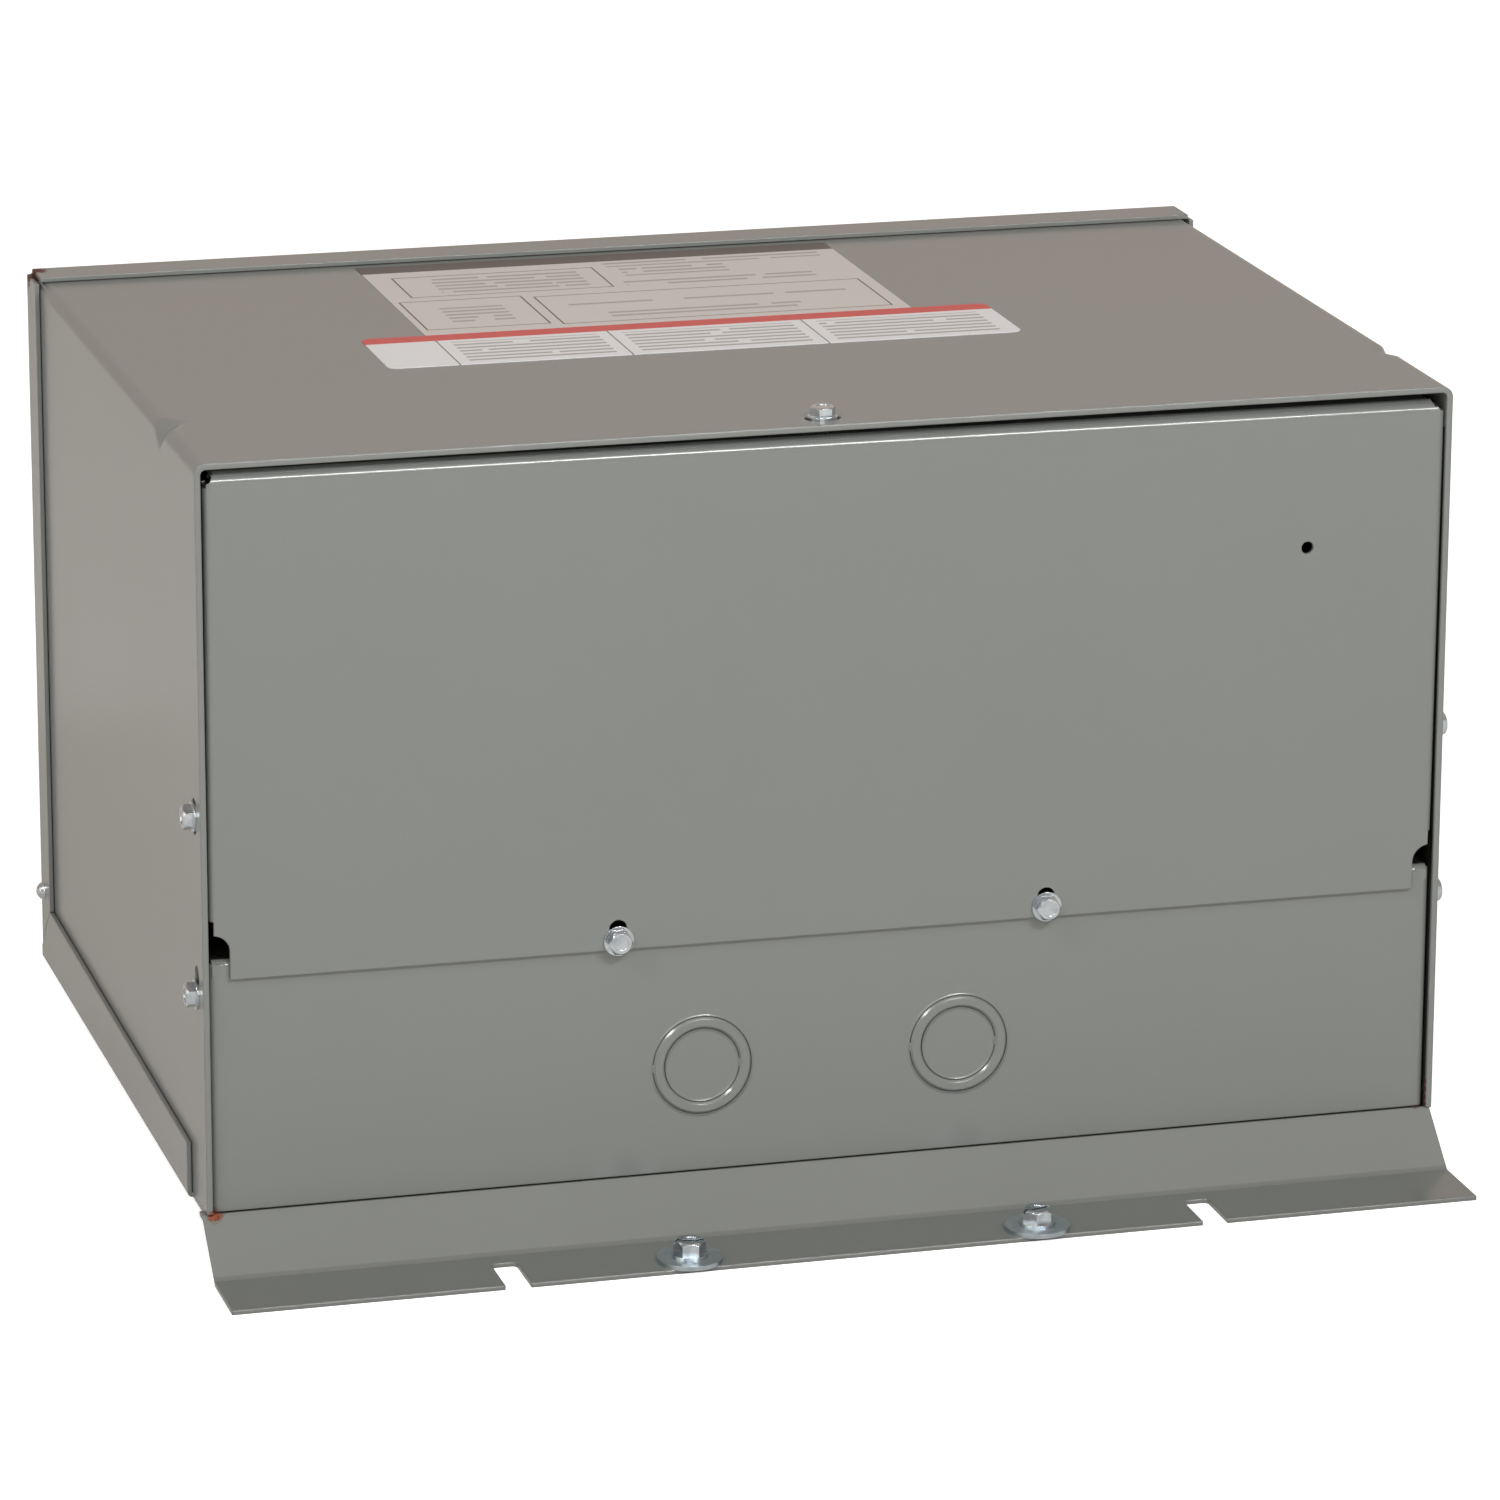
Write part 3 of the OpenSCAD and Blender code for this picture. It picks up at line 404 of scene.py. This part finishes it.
def rust_spots():
    """Middle, radius and brightness of each rust spot, from the corners of the pieces that
    carry them."""
    panel_low, panel_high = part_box("knockout_panel")
    cap_low, cap_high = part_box("rear_cap")
    left, right, front = panel_low.x, panel_high.x, panel_low.y
    bottom = panel_low.z - 1.2 * MM
    return [
        ((left + 0.2 * MM, front - 0.6 * MM, bottom), 3.4 * MM, 1.0),
        ((right - 2.8 * MM, front, bottom + 0.6 * MM), 1.4 * MM, 0.0),
        ((cap_low.x + 2.6 * MM, cap_high.y - 4.5 * MM, cap_high.z - 2.0 * MM), 5.2 * MM, 0.15),
    ] + [
        ((right + 0.3 * MM, front, bottom + height * MM), 1.5 * MM, 0.0)
        for height in LINE_HEIGHTS
    ]


def rust_on(tree, at):
    """Mask and colour of the rust. The mask is the largest of the spots' masks. The colour is
    the dark one, with the bright one in blotches where the spot is a bright one."""
    rust = 0.0
    fresh = 0.0
    for middle, radius, brightness in rust_spots():
        spot = use_group(tree, SPOT, Place=at, Middle=middle, Radius=radius)
        rust = calc(tree, "MAXIMUM", rust, spot["Mask"])
        fresh = calc(tree, "ADD", fresh, product(tree, spot["Mask"], brightness))
    blotch = product(tree, ramp(tree, noise(tree, at, BLOTCH_SIZE), 0.35, 0.65), fresh)
    return rust, mixed(tree, blotch, RUST_DARK, RUST_BRIGHT)


print("rust spots:", len(rust_spots()))

# %% [markdown]
# Inside, the sheet is painted a dark colour where the gaps beside the panel and the cover
# show it: painted shade, for the dark of the inside seen through them. Two masks find those
# surfaces by where they are, because they belong to the same solids as the painted outside.

# %% Where shade is painted inside
CASE_SHEET = 1.5 * MM
LOWER_MARGIN = 0.2 * MM
TOP_BAND = 12 * MM
FADE = 1.0 * MM
SEEN_DEPTH = 35 * MM
CORNER_REACH = 3.2 * MM
FACE_DEPTH = 0.5 * MM


def painted_shade_inside(tree, at, start):
    """Mask of the painted shade inside the case: the surfaces between the side walls, below the top
    band and above the wrapper's lower edge, from start as deep as an eye can see in through the
    gaps."""
    low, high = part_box("wrapper")
    split = axes(tree, at)
    narrow = calc(tree, "LESS_THAN", calc(tree, "ABSOLUTE", split["X"]), high.x - CASE_SHEET)
    below = calc(tree, "LESS_THAN", split["Z"], high.z - TOP_BAND)
    above = calc(tree, "GREATER_THAN", split["Z"], low.z - LOWER_MARGIN)
    deep = ramp(tree, split["Y"], start, start + FADE)
    near = calc(tree, "LESS_THAN", split["Y"], start + SEEN_DEPTH)
    return product(tree, product(tree, narrow, below, above), product(tree, deep, near))


def painted_shade_in_reliefs(tree, at):
    """Painted shade: mask of the cover's two upper corners behind its face, where a relief is
    nibbled out.
    """
    low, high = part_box("front_cover")
    split = axes(tree, at)
    wide = calc(tree, "GREATER_THAN", calc(tree, "ABSOLUTE", split["X"]), high.x - CORNER_REACH)
    tall = calc(tree, "GREATER_THAN", split["Z"], high.z - CORNER_REACH)
    behind = calc(tree, "GREATER_THAN", split["Y"], low.y + FACE_DEPTH)
    return product(tree, wide, tall, behind)


print("painted shade reaches as deep as", SEEN_DEPTH / MM, "mm")

# %% [markdown]
# The two knockouts sit side by side in the panel. Each has an outer and an inner ring, and
# gets one shoulder around the outer ring and one within the inner ring.

# %% Knockouts
KNOCKOUTS_X = (-38.0 * MM, 37.5 * MM)
KNOCKOUT_Z = 46.3 * MM
RING_OUTER = 14.4 * MM
RING_INNER = 10.9 * MM
SHOULDER_WIDTH = 1.1 * MM


def knockout_relief(tree, at, normal):
    """The normal with the shoulders of both knockouts pressed into it."""
    height = 0.0
    for middle in KNOCKOUTS_X:
        ring = use_group(tree, SHOULDER, Place=at, Middle_X=middle, Middle_Z=KNOCKOUT_Z,
                         Outer=RING_OUTER, Inner=RING_INNER, Width=SHOULDER_WIDTH)
        height = calc(tree, "ADD", height, ring["Height"])
    return bumped(tree, height, normal)


print("knockouts are apart by", (KNOCKOUTS_X[1] - KNOCKOUTS_X[0]) / MM, "mm")

# %% [markdown]
# The case is sprayed with a satin grey-green enamel. Its gloss is even, so the shape of the
# sheet shows in soft reflections. The colour is built up in layers: paint, worn edges,
# painted shade darker towards the foot and inside the case, and rust last.

# %% Painted steel
PAINT = linear("838785")
PAINT_WORN = linear("A0A49E")
# Painted shade: a darker colour for the foot.
PAINT_FOOT_SHADE = linear("4E4F4C")
# Painted shade: a dark colour for the inside of the case, where the gaps show it.
PAINTED_SHADE = linear("2B2A28")
MOTTLE_SIZE, MOTTLE_SHARE = 14.0, 0.03
WEAR_SHARE = 0.5
# Painted shade: below these heights the paint darkens towards the foot.
FOOT_SHADE_FULL, FOOT_SHADE_END, FOOT_SHADE_SHARE = 1.9 * MM, 2.5 * MM, 0.3
GLOSS, GLOSS_CHANGE, RUST_ROUGHNESS = 0.17, 0.03, 0.9


def painted_steel(name, shade_from=None, pressed=False, soft=0.5 * MM, reliefs=False):
    """Enamel over steel: a slow mottle in the colour, lighter worn edges, painted shade darker
    towards the foot, rust in the corners. Behind the given depth in Y, and in the cover's reliefs,
    shade is painted as a dark colour."""
    material, tree, shader = principled(name, roughness=0.2)
    at = place(tree)
    edge = use_group(tree, SOFT_EDGE, Place=at, Radius=soft)
    normal = knockout_relief(tree, at, edge["Normal"]) if pressed else edge["Normal"]
    peel = use_group(tree, ORANGE_PEEL, Place=at, Normal=normal)
    tree.links.new(peel["Normal"], shader.inputs["Normal"])

    mottle = ramp(tree, noise(tree, at, MOTTLE_SIZE, detail=2.0), 0.2, 0.8)
    colour = mixed(tree, product(tree, mottle, MOTTLE_SHARE), PAINT, PAINT_WORN)
    colour = mixed(tree, product(tree, edge["Wear"], WEAR_SHARE), colour, PAINT_WORN)
    # Painted shade: the cover's corner reliefs are painted dark.
    if reliefs:
        colour = mixed(tree, painted_shade_in_reliefs(tree, at), colour, PAINTED_SHADE)
    # Painted shade: the paint is darker towards the foot.
    foot_shade = opposite(tree, ramp(tree, axes(tree, at)["Z"], FOOT_SHADE_FULL, FOOT_SHADE_END))
    colour = mixed(tree, product(tree, foot_shade, FOOT_SHADE_SHARE), colour, PAINT_FOOT_SHADE)
    # Painted shade: the inside of the case is painted dark.
    if shade_from is not None:
        colour = mixed(tree, painted_shade_inside(tree, at, shade_from), colour, PAINTED_SHADE)
    rust, rust_colour = rust_on(tree, at)
    tree.links.new(mixed(tree, rust, colour, rust_colour), shader.inputs["Base Color"])

    gloss = calc(tree, "ADD", product(tree, mottle, GLOSS_CHANGE), GLOSS)
    rough = calc(tree, "MAXIMUM", gloss, product(tree, rust, RUST_ROUGHNESS))
    tree.links.new(rough, shader.inputs["Roughness"])
    return material


print("paint, linear:", [round(v, 3) for v in PAINT[:3]])

# %% [markdown]
# The screws and washers are zinc-plated steel: metal, with a slightly blue, cloudy shine and
# a fine grain in the gloss. The washers' zinc is rougher and bluer than that of the screws.
# The lamination stacks and their stands are plain steel and darker.

# %% Metals
METAL_EDGE = 0.12 * MM
METAL_GRAIN = 2500.0
CLOUD_SIZE = 350.0
METALS = {
    "zinc_steel": ("zinc plate", "CAD1D6", "AEB9C0", 0.14, 0.04),
    "core_steel": ("lamination steel", "6A6C70", "505358", 0.5, 0.2),
    "stand_steel": ("strip steel", "8E9092", "777A7D", 0.45, 0.2),
}


def plain_metal(name, colour, cloud_colour, roughness, grain_size):
    """Metal with a cloudy colour. Its roughness is the given one, plus or minus half the
    grain size by a fine noise."""
    material, tree, shader = principled(name, roughness, metallic=1.0)
    at = place(tree)
    edge = use_group(tree, SOFT_EDGE, Place=at, Radius=METAL_EDGE)
    tree.links.new(edge["Normal"], shader.inputs["Normal"])
    cloud = ramp(tree, noise(tree, at, CLOUD_SIZE, detail=4.0), 0.35, 0.7)
    clouded = mixed(tree, cloud, linear(colour), linear(cloud_colour))
    tree.links.new(clouded, shader.inputs["Base Color"])
    grains = product(tree, noise(tree, at, METAL_GRAIN, detail=2.0), grain_size)
    rough = calc(tree, "ADD", grains, roughness - grain_size / 2)
    tree.links.new(rough, shader.inputs["Roughness"])
    return material


finishes = {slot: plain_metal(*values) for slot, values in METALS.items()}
dull_zinc = plain_metal("dull zinc plate", "A9B3B7", "9AA6AB", 0.36, 0.04)
print("metals:", len(finishes) + 1)

# %% [markdown]
# Inside are parts that show only in a cutaway: kraft paper, card tubes, enamelled wire,
# cast resin and black lead sleeves. Each gets the grain that the real one has: a noise that
# is even for board and resin, and stretched along the fibres or the wire for the others.

# %% Hidden pieces
EVEN = (1, 1, 1)
FIBROUS = {
    "barrier_board": ("pressed board", "7A5338", "5E3E2A", 0.75, 300.0, EVEN, 0.2 * MM),
    "resin": ("filled resin", "46423E", "2E2B28", 0.6, 500.0, EVEN, 0.2 * MM),
    "coil_tube": ("card tube", "CDB98F", "B39E74", 0.85, 400.0, (1, 1, 0.1), 0.1 * MM),
    "copper_wire": ("enamelled wire", "B8642F", "8A431C", 0.35, 30.0, (0.1, 0.1, 25), 0.3 * MM),
    "insulation_paper": ("kraft paper", "D9C79B", "BFAA7C", 0.9, 300.0, (1, 1, 0.2), 0.1 * MM),
    "lead_sleeve": ("lead sleeve", "2A2B2E", "1B1C1E", 0.5, 900.0, EVEN, 0.05 * MM),
}


def fibrous(name, light, dark, roughness, scale, stretch, depth):
    """Paper, card, resin or wire: two colours mixed by a noise stretched along one axis, and
    the same noise as height."""
    material, tree, shader = principled(name, roughness)
    at = vector_calc(tree, "MULTIPLY", place(tree), stretch)
    grain = noise(tree, at, scale, detail=4.0, roughness=0.6)
    colour = mixed(tree, ramp(tree, grain, 0.3, 0.7), linear(dark), linear(light))
    tree.links.new(colour, shader.inputs["Base Color"])
    tree.links.new(bumped(tree, grain, distance=depth), shader.inputs["Normal"])
    return material


finishes.update({slot: fibrous(*values) for slot, values in FIBROUS.items()})
print("finishes so far:", len(finishes))

# %% [markdown]
# Two labels lie on the top. Their print is plain: a dark band, thin ruled frames, and rows of
# small grey dashes. A place on a label is given as shares: left and right of its width, from
# the left, and rear and front of its depth, from the rear edge.

# %% Print
INK = linear("5C5552")
FINE_INK = linear("97908C")
RULE = 0.55 * MM
WORDS = 90.0
ROW_SHIFT = 7.3
ROW_SHARE = 0.42
ROW_PITCH = 4.3 * MM
FILM_GRAIN, FILM_CHANGE = 400.0, 0.1
BLEED = 0.1 * MM


def rect_on(tree, at, label, left, right, rear, front, grow=0.0):
    """Mask of a rectangle on a label, given as shares of the label, grown by a width."""
    low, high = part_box(label)
    size = high - low
    return use_group(
        tree, FIELD, Place=at,
        Middle_X=low.x + size.x * (left + right) / 2,
        Middle_Y=high.y - size.y * (rear + front) / 2,
        Half_Width=size.x * (right - left) / 2 + grow,
        Half_Depth=size.y * (front - rear) / 2 + grow,
    )["Mask"]


def outline_on(tree, at, label, *shares):
    """Mask of a ruled frame: a rectangle less the same one made smaller by the line."""
    outer = rect_on(tree, at, label, *shares, RULE / 2)
    inner = rect_on(tree, at, label, *shares, -RULE / 2)
    return calc(tree, "SUBTRACT", outer, inner)


def rows_on(tree, at, label, *shares, pitch=ROW_PITCH, gaps=0.36):
    """Rows of dashes: a stripe pattern along the depth, broken by a noise that only changes
    along the width and from row to row. A dash ends where the noise falls below gaps."""
    split = axes(tree, at)
    step = calc(tree, "DIVIDE", split["Y"], pitch)
    stripe = calc(tree, "LESS_THAN", calc(tree, "FRACT", step), ROW_SHARE)
    spread = tree.nodes.new("ShaderNodeCombineXYZ")
    feed(tree, spread.inputs["X"], product(tree, split["X"], WORDS))
    feed(tree, spread.inputs["Y"], product(tree, calc(tree, "FLOOR", step), ROW_SHIFT))
    dash = calc(tree, "GREATER_THAN", noise(tree, spread.outputs[0], 1.0, detail=1.0), gaps)
    return product(tree, stripe, dash, rect_on(tree, at, label, *shares))


def film(name, roughness):
    """Printed plastic film with a faint unevenness in its gloss."""
    material, tree, shader = principled(name, roughness)
    at = place(tree)
    grain = product(tree, noise(tree, at, FILM_GRAIN), FILM_CHANGE)
    rough = calc(tree, "ADD", grain, roughness - FILM_CHANGE / 2)
    tree.links.new(rough, shader.inputs["Roughness"])
    return material, tree, shader, at


print("a row of dashes is thick, in mm: %.1f" % (ROW_PITCH * ROW_SHARE / MM))

# %% [markdown]
# The larger label is silver-grey. A dark band runs along its rear edge, and three ruled
# frames hold most of the rows. The band is drawn a tenth of a millimetre past the film on
# each side, so that no pale rim is left.

# %% Data label
DATA_ROWS = (
    (0.12, 0.43, 0.22, 0.43),
    (0.50, 0.96, 0.13, 0.19),
    (0.52, 0.74, 0.22, 0.33),
    (0.50, 0.90, 0.40, 0.48),
    (0.34, 0.92, 0.66, 0.73),
    (0.40, 0.80, 0.82, 0.90),
    (0.08, 0.21, 0.64, 0.86),
)
DATA_FRAMES = (
    (0.05, 0.47, 0.18, 0.47),
    (0.015, 0.265, 0.53, 0.93),
    (0.29, 0.97, 0.555, 0.95),
)
DATA_GROUND, DATA_BAND = linear("DDD8D6"), linear("564E4B")
DATA_INK_SHARE = 0.7


def data_label_film():
    """Silver-grey film: dark band at the rear, three ruled frames and rows of dashes."""
    material, tree, shader, at = film("data label film", 0.4)
    name = "data_label"
    colour = DATA_GROUND
    for shares in DATA_ROWS:
        rows = product(tree, rows_on(tree, at, name, *shares), DATA_INK_SHARE)
        colour = mixed(tree, rows, colour, FINE_INK)
    for shares in DATA_FRAMES:
        colour = mixed(tree, outline_on(tree, at, name, *shares), colour, INK)
    band = rect_on(tree, at, name, 0.0, 1.0, 0.0, 0.10, BLEED)
    tree.links.new(mixed(tree, band, colour, DATA_BAND), shader.inputs["Base Color"])
    return material


finishes["data_label"] = data_label_film()
print("data label: fields of rows", len(DATA_ROWS), "frames", len(DATA_FRAMES))

# %% [markdown]
# The smaller label is white, with a plain red stripe along its rear edge. Thin lines divide
# it into fields, and three of them hold rows.

# %% Striped label
FIELD_ENDS = ((0.13, 0.36), (0.40, 0.67), (0.71, 0.97))
DIVIDERS = (0.11, 0.38, 0.69)
HALF_DIVIDER = 0.2 * MM
STRIPED_GROUND, STRIPE_RED = linear("F3F5F9"), linear("DA4B46")
STRIPED_INK_SHARE = 0.75
STRIPED_PITCH = 3.9 * MM


def striped_label_film():
    """White film: plain red stripe at the rear, three dividers and rows of dashes."""
    material, tree, shader, at = film("striped label film", 0.38)
    name = "striped_label"
    colour = STRIPED_GROUND
    for left, right in FIELD_ENDS:
        rows = rows_on(tree, at, name, left, right, 0.27, 0.92, pitch=STRIPED_PITCH, gaps=0.32)
        colour = mixed(tree, product(tree, rows, STRIPED_INK_SHARE), colour, FINE_INK)
    for share in DIVIDERS:
        line = rect_on(tree, at, name, share, share, 0.0, 1.0, HALF_DIVIDER)
        colour = mixed(tree, line, colour, INK)
    stripe = rect_on(tree, at, name, 0.0, 1.0, 0.0, 0.19, BLEED)
    tree.links.new(mixed(tree, stripe, colour, STRIPE_RED), shader.inputs["Base Color"])
    return material


finishes["striped_label"] = striped_label_film()
print("striped label: fields", len(FIELD_ENDS), "dividers", len(DIVIDERS))

# %% [markdown]
# Every solid now gets its finish by its material slot in the record, so that like pieces
# match. A few pieces then get one of their own: the washers' duller zinc, and the sheets
# that have shade painted on their insides, where the gaps show them.

# %% Give each solid its finish
finishes["case_paint"] = painted_steel("painted steel")
for part in frame["record"]["subparts"]:
    solid = nodes[part["node"]]
    solid.data.materials.clear()
    solid.data.materials.append(finishes[part["material_slot"]])

# From these depths on, shade is painted on the inside of the sheets.
case_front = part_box("wrapper")[0].y + 0.6 * MM
panel_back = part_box("knockout_panel")[0].y + 2.0 * MM
shaded_inside_case = painted_steel("painted steel, shade painted inside", case_front, soft=0.8 * MM)
own_finishes = {
    "foot_washer_left": dull_zinc,
    "foot_washer_right": dull_zinc,
    "wrapper": shaded_inside_case,
    "base_tray": shaded_inside_case,
    "knockout_panel": painted_steel("painted panel, shade painted behind", panel_back, pressed=True),
    "front_cover": painted_steel("painted cover, shade in reliefs", reliefs=True),
}
for node, finish in own_finishes.items():
    nodes[node].data.materials[0] = finish
print("finishes:", len(finishes), "and for single pieces:", len(set(own_finishes.values())))

# %% [markdown]
# The cover's top flange springs back a little after it is bent, so it rises towards the
# wrapper and catches the light just behind the bright bend. The solid has the flange square,
# so a thin strip that leaves the bend and rises is fitted over it: a profile carried along
# the cover.

# %% A profile carried along a line
STATIONS = 25


def carried_profile(name, profile, start, end):
    """Each point is a profile point plus start + share * (end - start), with share from 0 to 1
    along the run. The two ends are closed with one face each."""
    share = np.linspace(0.0, 1.0, STATIONS)[:, None]
    run = np.asarray(start) + share * (np.asarray(end) - np.asarray(start))
    count = len(profile)
    points = np.zeros((STATIONS, count, 3))
    points[:, :, 1:] = profile[None, :, :]
    points += run[:, None, :]
    row = np.arange(STATIONS - 1)[:, None] * count
    here = np.arange(count)[None, :]
    after = (here + 1) % count
    corners = [row + here, row + after, row + count + after, row + count + here]
    sides = np.stack(corners, axis=-1).reshape(-1, 4)
    last = (STATIONS - 1) * count
    ends = [list(range(count))[::-1], list(range(last, last + count))]
    mesh = bpy.data.meshes.new(name)
    mesh.from_pydata(points.reshape(-1, 3).tolist(), [], sides.tolist() + ends)
    piece = bpy.data.objects.new(name, mesh)
    bpy.context.scene.collection.objects.link(piece)
    return piece


# %% Profile of the sprung flange
BEND = 2.2 * MM
RISE = 22.0
REACH = 3.8 * MM
COVER_SHEET = 1.2 * MM
TIP_ROUND = 0.3 * MM


def flange_profile(bend, rise, reach, sheet):
    """Y and Z of the sprung flange: it leaves the bend's arc where the arc's slope is the
    rise, runs straight to reach, ends in a small round and is as thick as the sheet."""
    turn = np.radians(90.0 - rise)
    leave = np.array([bend - bend * np.cos(turn), bend * np.sin(turn) - bend])
    along = np.array([np.cos(np.radians(rise)), np.sin(np.radians(rise))])
    down = np.array([along[1], -along[0]])
    far = leave + along * (reach - leave[0]) / along[0]
    corner = np.radians(np.linspace(0.0, 90.0, 5))[:, None]
    tip = far + TIP_ROUND * (np.sin(corner) * along + (np.cos(corner) - 1.0) * -down)
    lower = np.array([far + TIP_ROUND * along + sheet * down, leave + sheet * down])
    return np.vstack([leave, tip, lower])


profile = flange_profile(BEND, RISE, REACH, COVER_SHEET)
print("profile points:", len(profile), "rise in mm: %.2f" % (np.ptp(profile[:, 1]) / MM))

# %% Sprung flange of the cover
RELIEF = 3.4 * MM
END_LENGTH = 20 * MM

cover_low, cover_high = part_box("front_cover")
points = np.array([v.co for v in nodes["front_cover"].data.vertices])
left_top = points[points[:, 0] < cover_low.x + END_LENGTH][:, 2].max()
right_top = points[points[:, 0] > cover_high.x - END_LENGTH][:, 2].max()
flange = carried_profile(
    "cover_top_flange", profile,
    (cover_low.x + RELIEF, cover_low.y, left_top), (cover_high.x - RELIEF, cover_low.y, right_top),
)
flange.data.materials.append(finishes["case_paint"])
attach(flange, "root")
print("sprung flange: left top %.2f mm, right top %.2f mm" % (left_top / MM, right_top / MM))

# %% [markdown]
# The floor is pale and plain. Camera rays see it lit up to white, and it keeps the shadow.
# Glossy surfaces see a little warm light from it, as from a large pale room.

# %% Floor
FLOOR_SIZE = 12.0
FLOOR_PALE = (0.88, 0.88, 0.88, 1.0)
WHITE = (1.0, 1.0, 1.0, 1.0)
MIRRORED_ROOM = (1.0, 0.84, 0.76, 1.0)
FLOOR_SEEN, FLOOR_MIRRORED = 0.75, 0.15


def ray_kinds(tree):
    """Two masks: rays straight from the camera, and rays that a glossy or clear surface has
    passed on."""
    paths = tree.nodes.new("ShaderNodeLightPath").outputs
    passed_on = calc(tree, "MAXIMUM", paths["Is Glossy Ray"], paths["Is Transmission Ray"])
    return paths["Is Camera Ray"], passed_on


def pale_floor():
    """A flat sheet on the floor, centred under the case."""
    half = FLOOR_SIZE / 2
    corners = [(-half, -half, 0), (half, -half, 0), (half, half, 0), (-half, half, 0)]
    mesh = bpy.data.meshes.new("floor")
    mesh.from_pydata(corners, [], [(0, 1, 2, 3)])
    floor = bpy.data.objects.new("floor", mesh)
    bpy.context.scene.collection.objects.link(floor)
    material, tree, shader = principled("pale floor", 0.9, specular=0.0)
    shader.inputs["Base Color"].default_value = FLOOR_PALE
    seen, mirrored = ray_kinds(tree)
    tree.links.new(mixed(tree, seen, MIRRORED_ROOM, WHITE), shader.inputs["Emission Color"])
    seen_glow = product(tree, seen, FLOOR_SEEN)
    mirrored_glow = product(tree, mirrored, FLOOR_MIRRORED)
    glow = calc(tree, "ADD", seen_glow, mirrored_glow)
    tree.links.new(glow, shader.inputs["Emission Strength"])
    mesh.materials.append(material)
    return floor


floor = pale_floor()
print("stage:", floor.name, "of", FLOOR_SIZE, "m")

# %% [markdown]
# Soft boxes light the case from the front and, with a warmer light, from the left. A small
# box, a narrow strip and two cards give the bright lines on bends and screws. The cards show
# in glossy surfaces alone, so they don't brighten the paint itself.

# %% Lamps
CENTRE = (0.0, 0.0, 0.12)
PLAIN = (1.0, 1.0, 1.0)
WARM = (1.0, 0.90, 0.80)
LAMPS = (
    ("front box", (-0.9, -2.6, 1.3), 1.6, 1.6, 18.0, PLAIN, True),
    ("left box", (-2.4, -0.2, 0.9), 1.4, 1.4, 5.5, WARM, True),
    ("glint box", (-1.7, -1.0, 1.75), 0.22, 0.22, 9.0, PLAIN, True),
    ("front strip", (0.75, -2.15, 1.85), 1.0, 0.3, 30.0, PLAIN, True),
    ("front card", (0.45, -2.25, 1.95), 1.3, 0.6, 38.0, PLAIN, False),
    ("glint card", (-1.75, -1.03, 1.8), 0.7, 0.7, 32.0, PLAIN, False),
)


def soft_box(name, stand, width, height, power, colour, lights):
    """A rectangular lamp that faces the middle of the case. Without lights it only shows in
    glossy surfaces, as a white card does."""
    lamp = bpy.data.lights.new(name, "AREA")
    lamp.shape = "RECTANGLE"
    lamp.size = width
    lamp.size_y = height
    lamp.energy = power
    lamp.color = colour
    box = bpy.data.objects.new(name, lamp)
    bpy.context.scene.collection.objects.link(box)
    box.location = stand
    box.rotation_euler = (Vector(CENTRE) - Vector(stand)).to_track_quat("-Z", "Y").to_euler()
    box.visible_diffuse = lights
    return box


boxes = [soft_box(*values) for values in LAMPS]
print("lamps:", len(boxes), "of which only mirrored:", sum(not b.visible_diffuse for b in boxes))

# %% [markdown]
# The room around is white to the camera. It lights the case with a warm, weaker light, and
# glossy surfaces see it about twice as bright as that.

# %% Room
WARM_ROOM = (1.0, 0.91, 0.79, 1.0)
ROOM_LIGHT = 0.3
MIRRORED_LIGHT = 0.58

world = bpy.data.worlds.new("room")
bpy.context.scene.world = world
world.use_nodes = True
tree = world.node_tree
room = tree.nodes["Background"]
seen, mirrored = ray_kinds(tree)
warm = mixed(tree, mirrored, WARM_ROOM, MIRRORED_ROOM)
tree.links.new(mixed(tree, seen, warm, WHITE), room.inputs["Color"])
strength = calc(tree, "MAXIMUM", seen, product(tree, mirrored, MIRRORED_LIGHT))
tree.links.new(calc(tree, "MAXIMUM", strength, ROOM_LIGHT), room.inputs["Strength"])
bpy.context.scene.view_settings.view_transform = "Standard"
print("room light:", ROOM_LIGHT, "mirrored:", MIRRORED_LIGHT)
